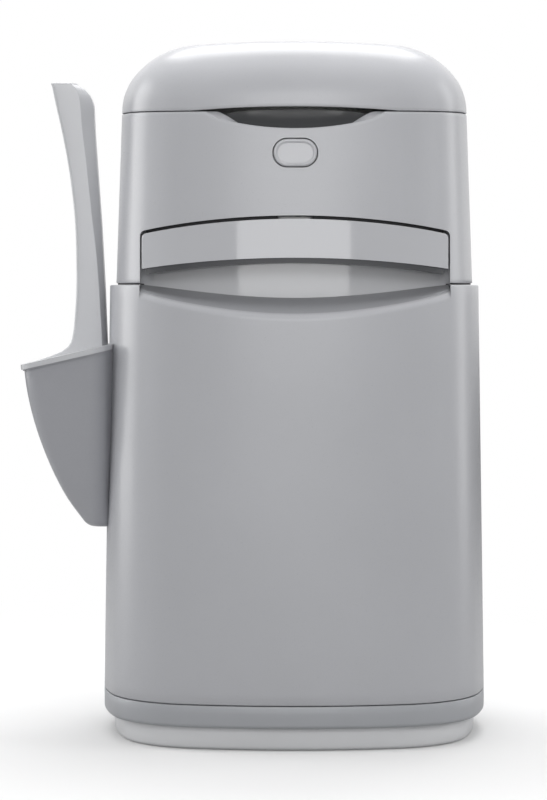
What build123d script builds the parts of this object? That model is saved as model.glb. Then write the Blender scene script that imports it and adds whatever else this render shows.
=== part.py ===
from build123d import *

import math
import os

# Litter disposal pail, as separate pieces in one frame.
# Millimetres, +Z up. The origin is the centre of the plinth's flat bottom, on the floor.
# The front, with the pull handle and the button, faces -Y. The scoop holder is on the -X side.

# Overall sizes
HEIGHT = 432.0
HALF_WIDTH = 120.5
HALF_DEPTH = 107.5
WALL = 2.6
GAP = 0.3
LAP = 0.2
LEDGE = 4.5

# Rounded plan at the widest level: three arcs to a quarter, tangent to each other
FRONT_RADIUS = 282.0
SIDE_RADIUS = 205.0
CORNER_RADIUS = 64.0

# Levels, from the floor up
TRAY_BOTTOM = 13.9
TRAY_TOP = 27.6
SHELL_BOTTOM = 28.2
PAIL_FLOOR = 38.0
RIM_TOP = 281.1
HEAD_BOTTOM = 281.8
DECK_BOTTOM = 328.0
LID_SEAM_FRONT = 385.5

# Drafts and insets of the moulded shells, from the widest plan
PLINTH_INSET = 6.0
PLINTH_DRAFT = 4.0
PAIL_DRAFT = 0.927
HEAD_STEP = 8.0
HEAD_DRAFT = 2.05

# Lid and its parting plane, which rises to the rear
LID_SEAM_TILT = 1.9
LID_SEAM_GAP = 0.5
LID_SEAM_INSET = 3.7
LID_ROUND = 34.0
DOME_RADIUS = 860.0

# Mouth in the head, and the pull handle that fills it
MOUTH_HALF = 94.5
MOUTH_TOP = 322.8
MOUTH_ARCH_RADIUS = 499.0
MOUTH_CORNER = 3.6
MOUTH_FOOT = 260.0
HANDLE_SIDE_GAP = 1.2
HANDLE_TOP_GAP = 2.1
HANDLE_BOTTOM_MID = 294.2
HANDLE_BOTTOM_END = 287.7
HANDLE_SKIN = 3.0
HANDLE_BEVEL = 3.2
HANDLE_EDGE = 0.8
HANDLE_INNER_CORNER = 1.5
HANDLE_LAP = 1.5
CARRIAGE_SKIN = 1.0

# Finger recess behind the handle
RECESS_MID_Y = -77.5
RECESS_END_Y = -60.5
RECESS_WALL = 2.2
RECESS_CEILING = 323.6
RECESS_FOOT = 269.5

# Sloped finger floor that closes the recess, moulded in the pail's front
FLOOR_FRONT_Y = -112.0
FLOOR_REAR_Y = -50.0
FLOOR_FRONT_MID_Z = 259.2
FLOOR_FRONT_END_Z = 269.5
FLOOR_REAR_MID_Z = 284.75
FLOOR_REAR_END_Z = 283.9
FLOOR_THICK = 2.8
FLOOR_LIP_RADIUS = 5.0
LIP_LOW = 262.0
LIP_HIGH = 276.5
LIP_REAR_Y = -80.0

# Rear hinges: the head on the pail, and the lid on the head
HEAD_HINGE_Y = 103.0
HEAD_HINGE_Z = 286.5
HEAD_HINGE = (HEAD_HINGE_Y, HEAD_HINGE_Z)
HEAD_KNUCKLE_R = 4.8
HEAD_PIN_R = 2.5
HEAD_LUG_X = 30.0
HEAD_LUG_HALF = 7.0
LID_HINGE_Y = 99.0
LID_HINGE_Z = 395.5
LID_HINGE = (LID_HINGE_Y, LID_HINGE_Z)
LID_KNUCKLE_R = 4.2
LID_PIN_R = 2.0
LID_LUG_X = 28.0
LID_LUG_HALF = 6.0
KNUCKLE_LENGTH = 7.6
KNUCKLE_HALF = KNUCKLE_LENGTH / 2
KNUCKLE_GAP = 0.4
RUNNING = 0.05
ROOT_THICK = 1.4
PAIL_ROOT = (252.0, 272.0)
HEAD_ROOT = (283.0, 297.0)
HEAD_LID_ROOT = (366.0, 386.0)
LID_ROOT = (396.0, 404.0)

# Base: tray and plinth
TRAY_WALL = 3.2
TRAY_FLOOR = 3.1
SPIGOT_TOP = 35.0
BASE_ROUND = 2.5
BASE_SCREW_X = 130.0
BASE_SCREW_Y = 110.0
BASE_SCREW_R = 1.5
BASE_SCREW_LONG = 9.0
BASE_HEAD_R = 3.6
BASE_HOLE_R = 2.0
BASE_BOSS_R = 5.0
SCREW_HEAD_TALL = 2.2

# Pail rim flange that the head rests over
RIM_FLANGE = 9.0
RIM_THICK = 3.0
RIM_INSET = 4.1
RIM_ROUND = 1.0

# Release button in the head's front
BUTTON_Z = 360.4
BUTTON_LONG = 26.4
BUTTON_TALL = 16.7
BUTTON_CLEAR = 0.6
BUTTON_BEVEL = 1.2
BUTTON_FLANGE_Y = -90.8
BUTTON_FLANGE = 1.6
BUTTON_FLANGE_GROW = 1.8
BUTTON_STEM_R = 2.8
BUTTON_COIL_R = 4.4
BUTTON_WIRE = 0.4
BUTTON_TURNS = 4
GUIDE_REAR_Y = -82.0
GUIDE_PLATE = 2.0
GUIDE_OUTER = 3.3
GUIDE_INNER = 2.1
GUIDE_BORE_R = 3.1

# Latch lever, its pivot with the ears that carry it, and its keeper
LATCH_EAR_X = 10.6
LATCH_EAR_R = 4.0
LATCH_EAR_THICK = 2.4
LATCH_EAR_ROOT = (6.0, 0.6)
PIVOT_Y = -79.0
PIVOT_Z = 331.0
PIVOT = (PIVOT_Y, PIVOT_Z)
PIVOT_R = 1.5
LEVER_HALF = 8.0
LEVER_THICK = 3.0
LEVER_BARREL_R = 3.5
LEVER_JOG_THICK = 2.6
LEVER_REAR_Y = -64.0
LEVER_TOP = 364.0
HOOK_BOTTOM = 256.0
HOOK_TOP = 261.4
HOOK_TIP_Y = -60.0
KEEPER_BOTTOM = 262.0
KEEPER_THICK = 2.6
KEEPER_HALF = 22.0
KEEPER_FRONT_Y = -84.0
KEEPER_REAR_Y = -53.0
KEEPER_TOP = 275.0
GUSSET_THICK = 2.2
WINDOW_FRONT_Y = -76.5
WINDOW_SIDE = 2.0

# Finger notch under the lid's front edge, and the dish behind it
NOTCH_HALF = 58.0
NOTCH_RADIUS = 10.8
NOTCH_Y = -91.5
DISH_HALF = 46.0
DISH_RADIUS = 11.4
DISH_WALL = 1.8
LID_ARCH_HALF = 62.0
LID_ARCH_RISE = 2.4

# Gate: slide rails, jaws and frame
RAIL_X = 84.0
RAIL_WIDE = 6.0
RAIL_BOTTOM = 296.0
RAIL_TOP = 306.0
JAW_FRONT_Y = 26.0
JAW_REAR_Y = 37.9
SEAL_THICK = 2.0
PINCH_GAP = 0.3
JAW_HALF = 46.0
JAW_POCKETS = 5
JAW_POCKET_PITCH = 30.0
JAW_POCKET_LONG = 26.0
JAW_POCKET_DEEP = 7.0
RAIL_FRONT_Y = -100.0
FIXED_JAW_THICK = 10.0
FIXED_POCKET_PITCH = 22.0
FIXED_POCKET_LONG = 18.0
FIXED_POCKET_DEEP = 8.0
SEAL_TALL = 8.0
SEAL_ANGLE = 60
FRAME_BOTTOM = 291.5
FRAME_TOP = 294.5
FRAME_HALF = 92.0
FRAME_FRONT_Y = -57.0
FRAME_REAR_Y = 58.0
APERTURE_HALF = 43.0
APERTURE_FRONT_Y = -7.5
FRAME_CORNER = 12.0
APERTURE_CORNER = 10.0
GUIDE_WALL = 2.2
SLOT_CLEAR = 0.4
SPRING_X = 66.0
SPRING_R = 3.6
SPRING_WIRE = 0.6
SPRING_TURNS = 8
FRONT_POST_X = 52.0
FRONT_POST_Y = -48.0
REAR_POST_X = 70.0
REAR_POST_Y = 50.0
POST_R = 4.5
POST_PLACES = (
    (-FRONT_POST_X, FRONT_POST_Y),
    (FRONT_POST_X, FRONT_POST_Y),
    (-REAR_POST_X, REAR_POST_Y),
    (REAR_POST_X, REAR_POST_Y),
)
GATE_SCREW_R = 1.6
GATE_SCREW_LONG = 14.0
GATE_HEAD_R = 3.8
GATE_HOLE_R = 2.0

# Funnel and refill cassette, on one centre
THROAT_Y = 8.0
THROAT_R = 50.0
DECK_THICK = 2.5
FUNNEL_FOOT = 309.0
CASSETTE_R = 81.0
CASSETTE_BORE = 52.5
CASSETTE_BOTTOM = 330.9
CASSETTE_TOP = 372.0
CASSETTE_WALL = 1.6
CASSETTE_BEVEL = 4.0
COVER_LIP = 0.8
COVER_THICK = 2.4
COVER_GRIP_R = 69.0
COVER_GRIP_LONG = 16.0
COVER_GRIP_WIDE = 7.0

# Lid liner, and its gasket, a ring that meets the cassette's cover
LINER_BOTTOM = 9.0
LINER_TOP = 11.0
GASKET_R = 66.0
GASKET_BOTTOM = CASSETTE_TOP + 2.9
GASKET_TALL = 5.0
GASKET_THICK = 4.0
GASKET_ROUND = 1.9
LINER_RING_HALF = 1.1

# Scoop holder on the left side, and the plane of its rim, which climbs towards the pail
HOLDER_BACK_X = -112.0
HOLDER_TURN_IN = 9.0
HOLDER_RIM_BEAD = 1.8
HOLDER_RIM_DEEP = 2.2
HOLDER_CLEAR = 0.4
HOLDER_TOP = 246.0
HOLDER_BOTTOM = 126.6
RIM_SLOPE = 13.0
RIM_LEFT_X = -172.0
RIM_LEFT_Z = 229.0

# level, left edge, shoulder, half width at the left, half width at the shoulder, corner radius
HOLDER_SECTIONS = (
    (HOLDER_TOP, -173.4, -127.0, 40.0, 62.0, 14.0),
    (211.0, -168.9, -127.0, 37.0, 58.0, 14.0),
    (180.5, -160.7, -127.0, 32.0, 52.0, 12.0),
    (150.0, -146.5, -126.0, 27.0, 43.0, 8.0),
    (HOLDER_BOTTOM, -130.0, -121.5, 22.0, 32.0, 1.5),
)


# Hooks of the scoop holder, through slots in the pail's wall
HOOK_TAB_Y = 18.0
HOOK_TAB_HALF = 6.0
HOOK_TAB_Z = 205.0
HOOK_TAB_THICK = 3.0
HOOK_ROOT_X = -120.3
HOOK_SHANK_X = -113.0
HOOK_INNER_X = -110.8
HOOK_TAB_DROP = 10.0
HOOK_SLOT_CLEAR = 0.5
HOOK_SLOT_HALF = 4.5

# Scoop: handle, basket with its skin and slots, and the plate over the holder's rim
SCOOP_HALF = 14.0
SCOOP_TOP = 408.0
SCOOP_OPEN_X = -123.4
SCOOP_ROOT = 222.0
SCOOP_REST = 0.3
SCOOP_CLEAR = 1.2
SCOOP_SKIN = 2.0
SCOOP_PLATE = 2.4
SCOOP_BEVEL = (5.0, 7.0)
SCOOP_EDGE = 2.5
SCOOP_LIP = 0.6
SCOOP_FOOT_X = -166.0
SCOOP_FOOT_Z = 231.8
SCOOP_FACE_X = -118.9
SCOOP_FACE_Z = 242.2
SLOT_LONG = 32.0
SLOT_PITCH = 9.0
SLOT_WIDE = 5.0
SLOT_ROWS = ((205.0, 7), (165.0, 5))

# Film cutter on the pail's inner right wall
CUTTER_X = 108.5
CUTTER_LOW = 246.0
CUTTER_HIGH = 270.0
CUTTER_HALF = 21.0
CUTTER_DEEP = 3.0
CUTTER_SLIT = 2.8
BLADE_X = CUTTER_X - 1.3
CUTTER_NOTCH_HALF = 15.0
CUTTER_NOTCH_LOW = 254.0
BLADE_HALF = 13.0
BLADE_LOW = 252.5
BLADE_HIGH = 264.5
BLADE_THICK = 0.6

os.makedirs("parts", exist_ok=True)


def corner_centre():
    """Centre of the front right corner arc, tangent inside the front arc and the side arc."""
    front = Vector(0, FRONT_RADIUS - HALF_DEPTH)
    side = Vector(HALF_WIDTH - SIDE_RADIUS, 0)
    to_front = FRONT_RADIUS - CORNER_RADIUS
    to_side = SIDE_RADIUS - CORNER_RADIUS
    apart = (side - front).length
    along = (to_front**2 - to_side**2 + apart**2) / (2 * apart)
    across = math.sqrt(to_front**2 - along**2)
    unit = (side - front).normalized()
    return front + unit * along + Vector(-unit.Y, unit.X) * across


def plan(inset):
    """The rounded plan, drawn inside the widest one by the inset, as eight tangent arcs."""
    corner = corner_centre()
    front_y = FRONT_RADIUS - HALF_DEPTH
    side_x = HALF_WIDTH - SIDE_RADIUS
    front_angle = math.degrees(math.atan2(front_y - corner.Y, corner.X))
    side_angle = math.degrees(math.atan2(-corner.Y, corner.X - side_x))
    front_sweep = 180 - 2 * front_angle
    side_sweep = 2 * side_angle
    corner_sweep = front_angle - side_angle
    front_r = FRONT_RADIUS - inset
    side_r = SIDE_RADIUS - inset
    corner_r = CORNER_RADIUS - inset
    with BuildSketch() as outline:
        with BuildLine():
            CenterArc((0, front_y), front_r, front_angle - 180, front_sweep)
            CenterArc((corner.X, corner.Y), corner_r, -front_angle, corner_sweep)
            CenterArc((side_x, 0), side_r, -side_angle, side_sweep)
            CenterArc((corner.X, -corner.Y), corner_r, side_angle, corner_sweep)
            CenterArc((0, -front_y), front_r, front_angle, front_sweep)
            CenterArc((-corner.X, -corner.Y), corner_r, 180 - front_angle, corner_sweep)
            CenterArc((-side_x, 0), side_r, 180 - side_angle, side_sweep)
            CenterArc((-corner.X, corner.Y), corner_r, 180 + side_angle, corner_sweep)
        make_face()
    return outline.sketch


def pail_inset(z):
    """Inset of the pail's outer surface at a level."""
    return (z - SHELL_BOTTOM) * math.tan(math.radians(PAIL_DRAFT))


def head_inset(z):
    """Inset of the head's outer surface at a level."""
    return HEAD_STEP + (z - HEAD_BOTTOM) * math.tan(math.radians(HEAD_DRAFT))


def frustum(inset, bottom, top, draft):
    """Solid on the rounded plan that narrows upwards by the draft, in degrees."""
    with BuildPart() as form:
        with BuildSketch(Plane.XY.offset(bottom)):
            add(plan(inset))
        extrude(amount=top - bottom, taper=draft)
    return form.part


def pail_form(inset, bottom, top):
    """Pail wall surface, offset inwards by the inset, between two levels."""
    return frustum(inset + pail_inset(bottom), bottom, top, PAIL_DRAFT)


def head_form(inset, bottom, top):
    """Head wall surface, offset inwards by the inset, between two levels."""
    return frustum(inset + head_inset(bottom), bottom, top, HEAD_DRAFT)


def hood_form(inset):
    """Head and lid as one rounded form, offset inwards by the inset."""
    with BuildPart() as form:
        add(head_form(inset, HEAD_BOTTOM, HEIGHT + 5))
        with Locations((0, 0, HEIGHT - inset - DOME_RADIUS)):
            Sphere(DOME_RADIUS, mode=Mode.INTERSECT)
        crown = form.faces().sort_by(Axis.Z)[-1]
        fillet(crown.edges(), LID_ROUND - inset)
    return form.part


def seam_plane(shift):
    """The lid's parting plane, which rises to the rear, moved along its normal by the shift."""
    tilt = math.radians(LID_SEAM_TILT)
    front_y = HEAD_STEP - HALF_DEPTH + LID_SEAM_INSET
    plane = Plane(
        origin=(0, front_y, LID_SEAM_FRONT),
        x_dir=(1, 0, 0),
        z_dir=(0, -math.sin(tilt), math.cos(tilt)),
    )
    return plane.offset(shift)


def rear_y(x, inset):
    """Where the rear arc of the plan lies, drawn inside the widest one by the inset."""
    return HALF_DEPTH - FRONT_RADIUS + math.sqrt((FRONT_RADIUS - inset) ** 2 - x**2)


def knuckle(x, half, axis, radius, inset, root):
    """Hinge knuckle: a barrel on the pin's axis that tapers into a root inside the wall."""
    root_y = rear_y(abs(x) + half, inset + WALL / 2)
    with BuildPart() as body:
        with BuildSketch(Plane.YZ.offset(x - half)):
            with Locations(axis):
                Circle(radius)
            with Locations((root_y, (root[0] + root[1]) / 2)):
                Rectangle(ROOT_THICK, root[1] - root[0])
            make_hull()
        extrude(amount=2 * half)
    return body.part


def cross_bar(x, half, axis, radius):
    """Round bar along X, on an axis at y and z."""
    with BuildPart() as bar:
        with BuildSketch(Plane.YZ.offset(x - half)):
            with Locations(axis):
                Circle(radius)
        extrude(amount=2 * half)
    return bar.part


def block(x, y, z):
    """Box between three pairs of limits."""
    with BuildPart() as body:
        with BuildSketch(Plane.XY.offset(z[0])):
            with Locations(((x[0] + x[1]) / 2, (y[0] + y[1]) / 2)):
                Rectangle(x[1] - x[0], y[1] - y[0])
        extrude(amount=z[1] - z[0])
    return body.part


# ---------------------------------------------------------------- plinth and tray

with BuildPart() as base_plinth:
    with BuildSketch(Plane.XY.offset(TRAY_BOTTOM)):
        add(plan(PLINTH_INSET))
    extrude(amount=TRAY_BOTTOM, dir=(0, 0, -1), taper=PLINTH_DRAFT)
    fillet(base_plinth.faces().sort_by(Axis.Z)[0].edges(), BASE_ROUND)
    with BuildSketch(Plane.XY.offset(TRAY_FLOOR)):
        add(plan(PLINTH_INSET + TRAY_WALL + 1))
    extrude(amount=TRAY_BOTTOM - TRAY_FLOOR, mode=Mode.SUBTRACT)
    with BuildSketch(Plane.XY.offset(TRAY_FLOOR)):
        with GridLocations(BASE_SCREW_X, BASE_SCREW_Y, 2, 2):
            Circle(BASE_BOSS_R)
            Circle(BASE_SCREW_R, mode=Mode.SUBTRACT)
    extrude(amount=TRAY_BOTTOM - TRAY_FLOOR)
base_plinth.part.label = "base_plinth"
export_step(base_plinth.part, "parts/base_plinth.step")

with BuildPart() as base_tray:
    with BuildSketch(Plane.XY.offset(TRAY_BOTTOM)):
        add(plan(0))
    extrude(amount=TRAY_TOP - TRAY_BOTTOM)
    fillet(base_tray.faces().sort_by(Axis.Z)[0].edges(), BASE_ROUND)
    with BuildSketch(Plane.XY.offset(TRAY_BOTTOM + TRAY_FLOOR)):
        add(plan(TRAY_WALL))
    extrude(amount=TRAY_TOP, mode=Mode.SUBTRACT)
    with BuildSketch(Plane.XY.offset(TRAY_BOTTOM + TRAY_FLOOR)):
        add(plan(TRAY_WALL))
        add(plan(2 * TRAY_WALL), mode=Mode.SUBTRACT)
    extrude(amount=SPIGOT_TOP - TRAY_BOTTOM - TRAY_FLOOR)
    with Locations((0, 0, TRAY_BOTTOM + TRAY_FLOOR)):
        with GridLocations(BASE_SCREW_X, BASE_SCREW_Y, 2, 2):
            Hole(BASE_HOLE_R, depth=TRAY_FLOOR)
base_tray.part.label = "base_tray"
export_step(base_tray.part, "parts/base_tray.step")

with BuildPart() as base_screws:
    with BuildSketch(Plane.XY.offset(TRAY_BOTTOM + TRAY_FLOOR)):
        with GridLocations(BASE_SCREW_X, BASE_SCREW_Y, 2, 2):
            Circle(BASE_HEAD_R)
    extrude(amount=SCREW_HEAD_TALL)
    with BuildSketch(Plane.XY.offset(TRAY_BOTTOM + TRAY_FLOOR)):
        with GridLocations(BASE_SCREW_X, BASE_SCREW_Y, 2, 2):
            Circle(BASE_SCREW_R)
    extrude(amount=-BASE_SCREW_LONG)
base_screws.part.label = "base_screws"
export_step(base_screws.part, "parts/base_screws.step")

# ---------------------------------------------------------------- pail shell


def floor_profile(y, mid_z, end_z, half):
    """Front view of the space above the finger floor, at one depth."""
    with BuildSketch(Plane.XZ.offset(-y)) as profile:
        with BuildLine():
            ThreePointArc((-half, end_z), (0, mid_z), (half, end_z))
            Polyline((half, end_z), (half, 300), (-half, 300), (-half, end_z))
        make_face()
    return profile.sketch.face()


def above_floor(drop, half):
    """Space above the finger floor, or above a like surface lower by the drop."""
    front = floor_profile(FLOOR_FRONT_Y, FLOOR_FRONT_MID_Z - drop, FLOOR_FRONT_END_Z - drop, half)
    rear = floor_profile(FLOOR_REAR_Y, FLOOR_REAR_MID_Z - drop, FLOOR_REAR_END_Z - drop, half)
    with BuildPart() as space:
        loft(sections=[front, rear], ruled=True)
    return space.part


def recess_zone(back, half, bottom, top):
    """Everything in front of the recess wall's arc, moved back by a distance."""
    radius = (MOUTH_HALF**2 + (RECESS_END_Y - RECESS_MID_Y) ** 2) / (2 * (RECESS_END_Y - RECESS_MID_Y))
    centre_y = RECESS_MID_Y + radius
    arc_r = radius - back
    end_y = centre_y - math.sqrt(arc_r**2 - half**2)
    with BuildPart() as zone:
        with BuildSketch(Plane.XY.offset(bottom)):
            with BuildLine():
                ThreePointArc((-half, end_y), (0, centre_y - arc_r), (half, end_y))
                Polyline((half, end_y), (half, -130), (-half, -130), (-half, end_y))
            make_face()
        extrude(amount=top - bottom)
    return zone.part


with BuildPart() as floor_room:
    add(above_floor(FLOOR_THICK, MOUTH_HALF + WALL))
    add(recess_zone(-1.2, MOUTH_HALF + WALL, 240, 300), mode=Mode.INTERSECT)

with BuildPart() as pail_cavity:
    add(pail_form(WALL, PAIL_FLOOR + WALL, RIM_TOP - RIM_THICK))
    with BuildSketch(Plane.XY.offset(RIM_TOP - 2 * RIM_THICK)):
        add(plan(RIM_INSET + RIM_FLANGE))
    extrude(amount=3 * RIM_THICK)
    add(floor_room.part, mode=Mode.SUBTRACT)

with BuildPart() as pail_shell:
    add(pail_form(0, SHELL_BOTTOM, RIM_TOP))
    fillet(pail_shell.faces().sort_by(Axis.Z)[-1].edges(), RIM_ROUND)
    add(above_floor(0, MOUTH_HALF), mode=Mode.SUBTRACT)
    low_edges = pail_shell.edges().filter_by(lambda edge: LIP_LOW < (edge @ 0.5).Z < LIP_HIGH)
    lip = low_edges.filter_by(lambda edge: (edge @ 0.5).Y < LIP_REAR_Y)
    fillet(lip, FLOOR_LIP_RADIUS)
    add(pail_cavity.part, mode=Mode.SUBTRACT)
    add(pail_form(WALL, SHELL_BOTTOM, PAIL_FLOOR), mode=Mode.SUBTRACT)
    for side in (-1, 1):
        root_inset = pail_inset(sum(PAIL_ROOT) / 2)
        add(knuckle(side * HEAD_LUG_X, HEAD_LUG_HALF, HEAD_HINGE, HEAD_KNUCKLE_R, root_inset, PAIL_ROOT))
        add(
            cross_bar(side * HEAD_LUG_X, 2 * HEAD_LUG_HALF, HEAD_HINGE, HEAD_PIN_R + RUNNING),
            mode=Mode.SUBTRACT,
        )
        slot_half = HOOK_TAB_HALF + HOOK_SLOT_CLEAR
        hook_slot_y = (side * HOOK_TAB_Y - slot_half, side * HOOK_TAB_Y + slot_half)
        hook_slot_z = (HOOK_TAB_Z - HOOK_SLOT_HALF, HOOK_TAB_Z + HOOK_SLOT_HALF)
        add(block((-125, -105), hook_slot_y, hook_slot_z), mode=Mode.SUBTRACT)
pail_shell.part.label = "pail_shell"
export_step(pail_shell.part, "parts/pail_shell.step")

# ---------------------------------------------------------------- head shell


def spindle(half, radius, y, z):
    """Spindle along X: an arc over a chord, turned about the chord."""
    centre = Plane((0, y, z))
    with BuildPart() as body:
        with BuildSketch(centre):
            with BuildLine():
                ThreePointArc((-half, 0), (0, radius), (half, 0))
                Line((half, 0), (-half, 0))
            make_face()
        revolve(axis=Axis((0, y, z), (1, 0, 0)), revolution_arc=360)
    return body.part


def arched_prism(half, top_mid, arch_radius, corner, bottom_mid, bottom_end):
    """Front-to-back prism of the mouth's outline: arched top, rounded top corners, arched foot."""
    top_end = top_mid - (arch_radius - math.sqrt(arch_radius**2 - half**2))
    with BuildPart() as body:
        with BuildSketch(Plane.XZ.offset(40)):
            with BuildLine():
                ThreePointArc((-half, top_end), (0, top_mid), (half, top_end))
                Line((half, top_end), (half, bottom_end))
                if bottom_mid == bottom_end:
                    Line((half, bottom_end), (-half, bottom_end))
                else:
                    ThreePointArc((half, bottom_end), (0, bottom_mid), (-half, bottom_end))
                Line((-half, bottom_end), (-half, top_end))
            outline = make_face()
            fillet(outline.vertices().group_by(Axis.Y)[-1], corner)
        extrude(amount=90)
    return body.part


def stadium_prism(grow, front_y, rear_y):
    """Front-to-back prism of the button's outline, larger all round by the grow."""
    with BuildPart() as body:
        with BuildSketch(Plane.XZ.offset(-rear_y)):
            with Locations((0, BUTTON_Z)):
                SlotOverall(BUTTON_LONG + 2 * grow, BUTTON_TALL + 2 * grow)
        extrude(amount=rear_y - front_y)
    return body.part


mouth_prism = arched_prism(MOUTH_HALF, MOUTH_TOP, MOUTH_ARCH_RADIUS, MOUTH_CORNER, MOUTH_FOOT, MOUTH_FOOT)

with BuildPart() as deck_ledge:
    add(head_form(WALL - LAP, DECK_BOTTOM - 4, DECK_BOTTOM))
    add(head_form(WALL + LEDGE, DECK_BOTTOM - 5, DECK_BOTTOM + 1), mode=Mode.SUBTRACT)
    add(block((-130, 130), (-130, -50), (300, 340)), mode=Mode.SUBTRACT)

with BuildPart() as finger_dish:
    add(spindle(DISH_HALF + DISH_WALL, DISH_RADIUS + DISH_WALL, NOTCH_Y, LID_SEAM_FRONT))
    add(hood_form(WALL - LAP), mode=Mode.INTERSECT)

with BuildPart() as lid_notch:
    add(spindle(NOTCH_HALF, NOTCH_RADIUS, NOTCH_Y, LID_SEAM_FRONT))
    add(block((-70, 70), (-110, NOTCH_Y + 1), (360, 400)), mode=Mode.INTERSECT)

with BuildPart() as head_shell:
    add(hood_form(0))
    add(hood_form(WALL), mode=Mode.SUBTRACT)
    add(finger_dish.part)
    add(spindle(DISH_HALF, DISH_RADIUS, NOTCH_Y, LID_SEAM_FRONT), mode=Mode.SUBTRACT)
    split(bisect_by=seam_plane(-LID_SEAM_GAP / 2), keep=Keep.BOTTOM)
    add(lid_notch.part, mode=Mode.SUBTRACT)
    add(mouth_prism, mode=Mode.SUBTRACT)
    add(stadium_prism(BUTTON_CLEAR, -110, -80), mode=Mode.SUBTRACT)
    add(deck_ledge.part)
    for side in (-1, 1):
        lug_x = side * HEAD_LUG_X
        add(
            block(
                (lug_x - HEAD_LUG_HALF - KNUCKLE_GAP, lug_x + HEAD_LUG_HALF + KNUCKLE_GAP),
                (85, 115),
                (270, HEAD_HINGE_Z + HEAD_KNUCKLE_R + 1),
            ),
            mode=Mode.SUBTRACT,
        )
        for end in (-1, 1):
            knuckle_x = lug_x + end * (HEAD_LUG_HALF + KNUCKLE_GAP + KNUCKLE_HALF)
            add(knuckle(knuckle_x, KNUCKLE_HALF, HEAD_HINGE, HEAD_KNUCKLE_R, head_inset(290), HEAD_ROOT))
        lid_root_inset = head_inset(380)
        add(knuckle(side * LID_LUG_X, LID_LUG_HALF, LID_HINGE, LID_KNUCKLE_R, lid_root_inset, HEAD_LID_ROOT))
        pin_half = HEAD_LUG_HALF + KNUCKLE_GAP + KNUCKLE_LENGTH
        add(cross_bar(lug_x, pin_half, HEAD_HINGE, HEAD_PIN_R), mode=Mode.SUBTRACT)
        add(
            cross_bar(side * LID_LUG_X, 2 * LID_LUG_HALF, LID_HINGE, LID_PIN_R + RUNNING),
            mode=Mode.SUBTRACT,
        )
head_shell.part.label = "head_shell"
export_step(head_shell.part, "parts/head_shell.step")

# ---------------------------------------------------------------- lid

lid_pin_half = LID_LUG_HALF + KNUCKLE_GAP + KNUCKLE_LENGTH
with BuildPart() as lid_cover:
    add(hood_form(0))
    add(hood_form(WALL), mode=Mode.SUBTRACT)
    split(bisect_by=seam_plane(LID_SEAM_GAP / 2), keep=Keep.TOP)
    with BuildSketch(Plane.XZ.offset(60)):
        with BuildLine():
            ThreePointArc(
                (-LID_ARCH_HALF, LID_SEAM_FRONT),
                (0, LID_SEAM_FRONT + LID_ARCH_RISE),
                (LID_ARCH_HALF, LID_SEAM_FRONT),
            )
            Line((LID_ARCH_HALF, LID_SEAM_FRONT), (-LID_ARCH_HALF, LID_SEAM_FRONT))
        make_face()
    extrude(amount=60, mode=Mode.SUBTRACT)
    for side in (-1, 1):
        lug_x = side * LID_LUG_X
        add(
            block(
                (lug_x - LID_LUG_HALF - KNUCKLE_GAP, lug_x + LID_LUG_HALF + KNUCKLE_GAP),
                (85, 115),
                (380, LID_HINGE_Z + LID_KNUCKLE_R + 0.8),
            ),
            mode=Mode.SUBTRACT,
        )
        for end in (-1, 1):
            knuckle_x = lug_x + end * (LID_LUG_HALF + KNUCKLE_GAP + KNUCKLE_HALF)
            add(knuckle(knuckle_x, KNUCKLE_HALF, LID_HINGE, LID_KNUCKLE_R, head_inset(402), LID_ROOT))
        add(cross_bar(lug_x, lid_pin_half, LID_HINGE, LID_PIN_R), mode=Mode.SUBTRACT)
lid_cover.part.label = "lid_cover"
export_step(lid_cover.part, "parts/lid_cover.step")

# ---------------------------------------------------------------- lid liner, gasket and pins

with BuildPart() as lid_liner:
    add(hood_form(WALL + GAP))
    split(bisect_by=seam_plane(LINER_BOTTOM), keep=Keep.TOP)
    with BuildSketch(Plane.XY.offset(GASKET_BOTTOM + GASKET_TALL)):
        with Locations((0, THROAT_Y)):
            Circle(GASKET_R + LINER_RING_HALF)
            Circle(GASKET_R - LINER_RING_HALF, mode=Mode.SUBTRACT)
    extrude(amount=22)
    split(bisect_by=seam_plane(LINER_TOP), keep=Keep.BOTTOM)
lid_liner.part.label = "lid_liner"
export_step(lid_liner.part, "parts/lid_liner.step")

with BuildPart() as lid_gasket:
    with BuildSketch(Plane.XZ):
        with Locations((GASKET_R, GASKET_BOTTOM + GASKET_TALL / 2)):
            RectangleRounded(GASKET_THICK, GASKET_TALL, GASKET_ROUND)
    revolve(axis=Axis.Z, revolution_arc=360)
lid_gasket.part = lid_gasket.part.moved(Location((0, THROAT_Y, 0)))
lid_gasket.part.label = "lid_gasket"
export_step(lid_gasket.part, "parts/lid_gasket.step")

with BuildPart() as lid_hinge_pins:
    for side in (-1, 1):
        add(cross_bar(side * LID_LUG_X, lid_pin_half, LID_HINGE, LID_PIN_R))
lid_hinge_pins.part.label = "lid_hinge_pins"
export_step(lid_hinge_pins.part, "parts/lid_hinge_pins.step")

with BuildPart() as head_hinge_pins:
    for side in (-1, 1):
        add(cross_bar(side * HEAD_LUG_X, pin_half, HEAD_HINGE, HEAD_PIN_R))
head_hinge_pins.part.label = "head_hinge_pins"
export_step(head_hinge_pins.part, "parts/head_hinge_pins.step")

# ---------------------------------------------------------------- recess wall and pull handle


def latch_ear(side):
    """Ear under the shelf that carries one end of the latch pin."""
    with BuildPart() as ear:
        with BuildSketch(Plane.YZ.offset(side * LATCH_EAR_X - LATCH_EAR_THICK / 2)):
            with Locations(PIVOT):
                Circle(LATCH_EAR_R)
            with Locations((PIVOT_Y - 0.5, RECESS_CEILING + RECESS_WALL)):
                Rectangle(*LATCH_EAR_ROOT)
            make_hull()
        extrude(amount=LATCH_EAR_THICK)
    return ear.part


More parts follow.
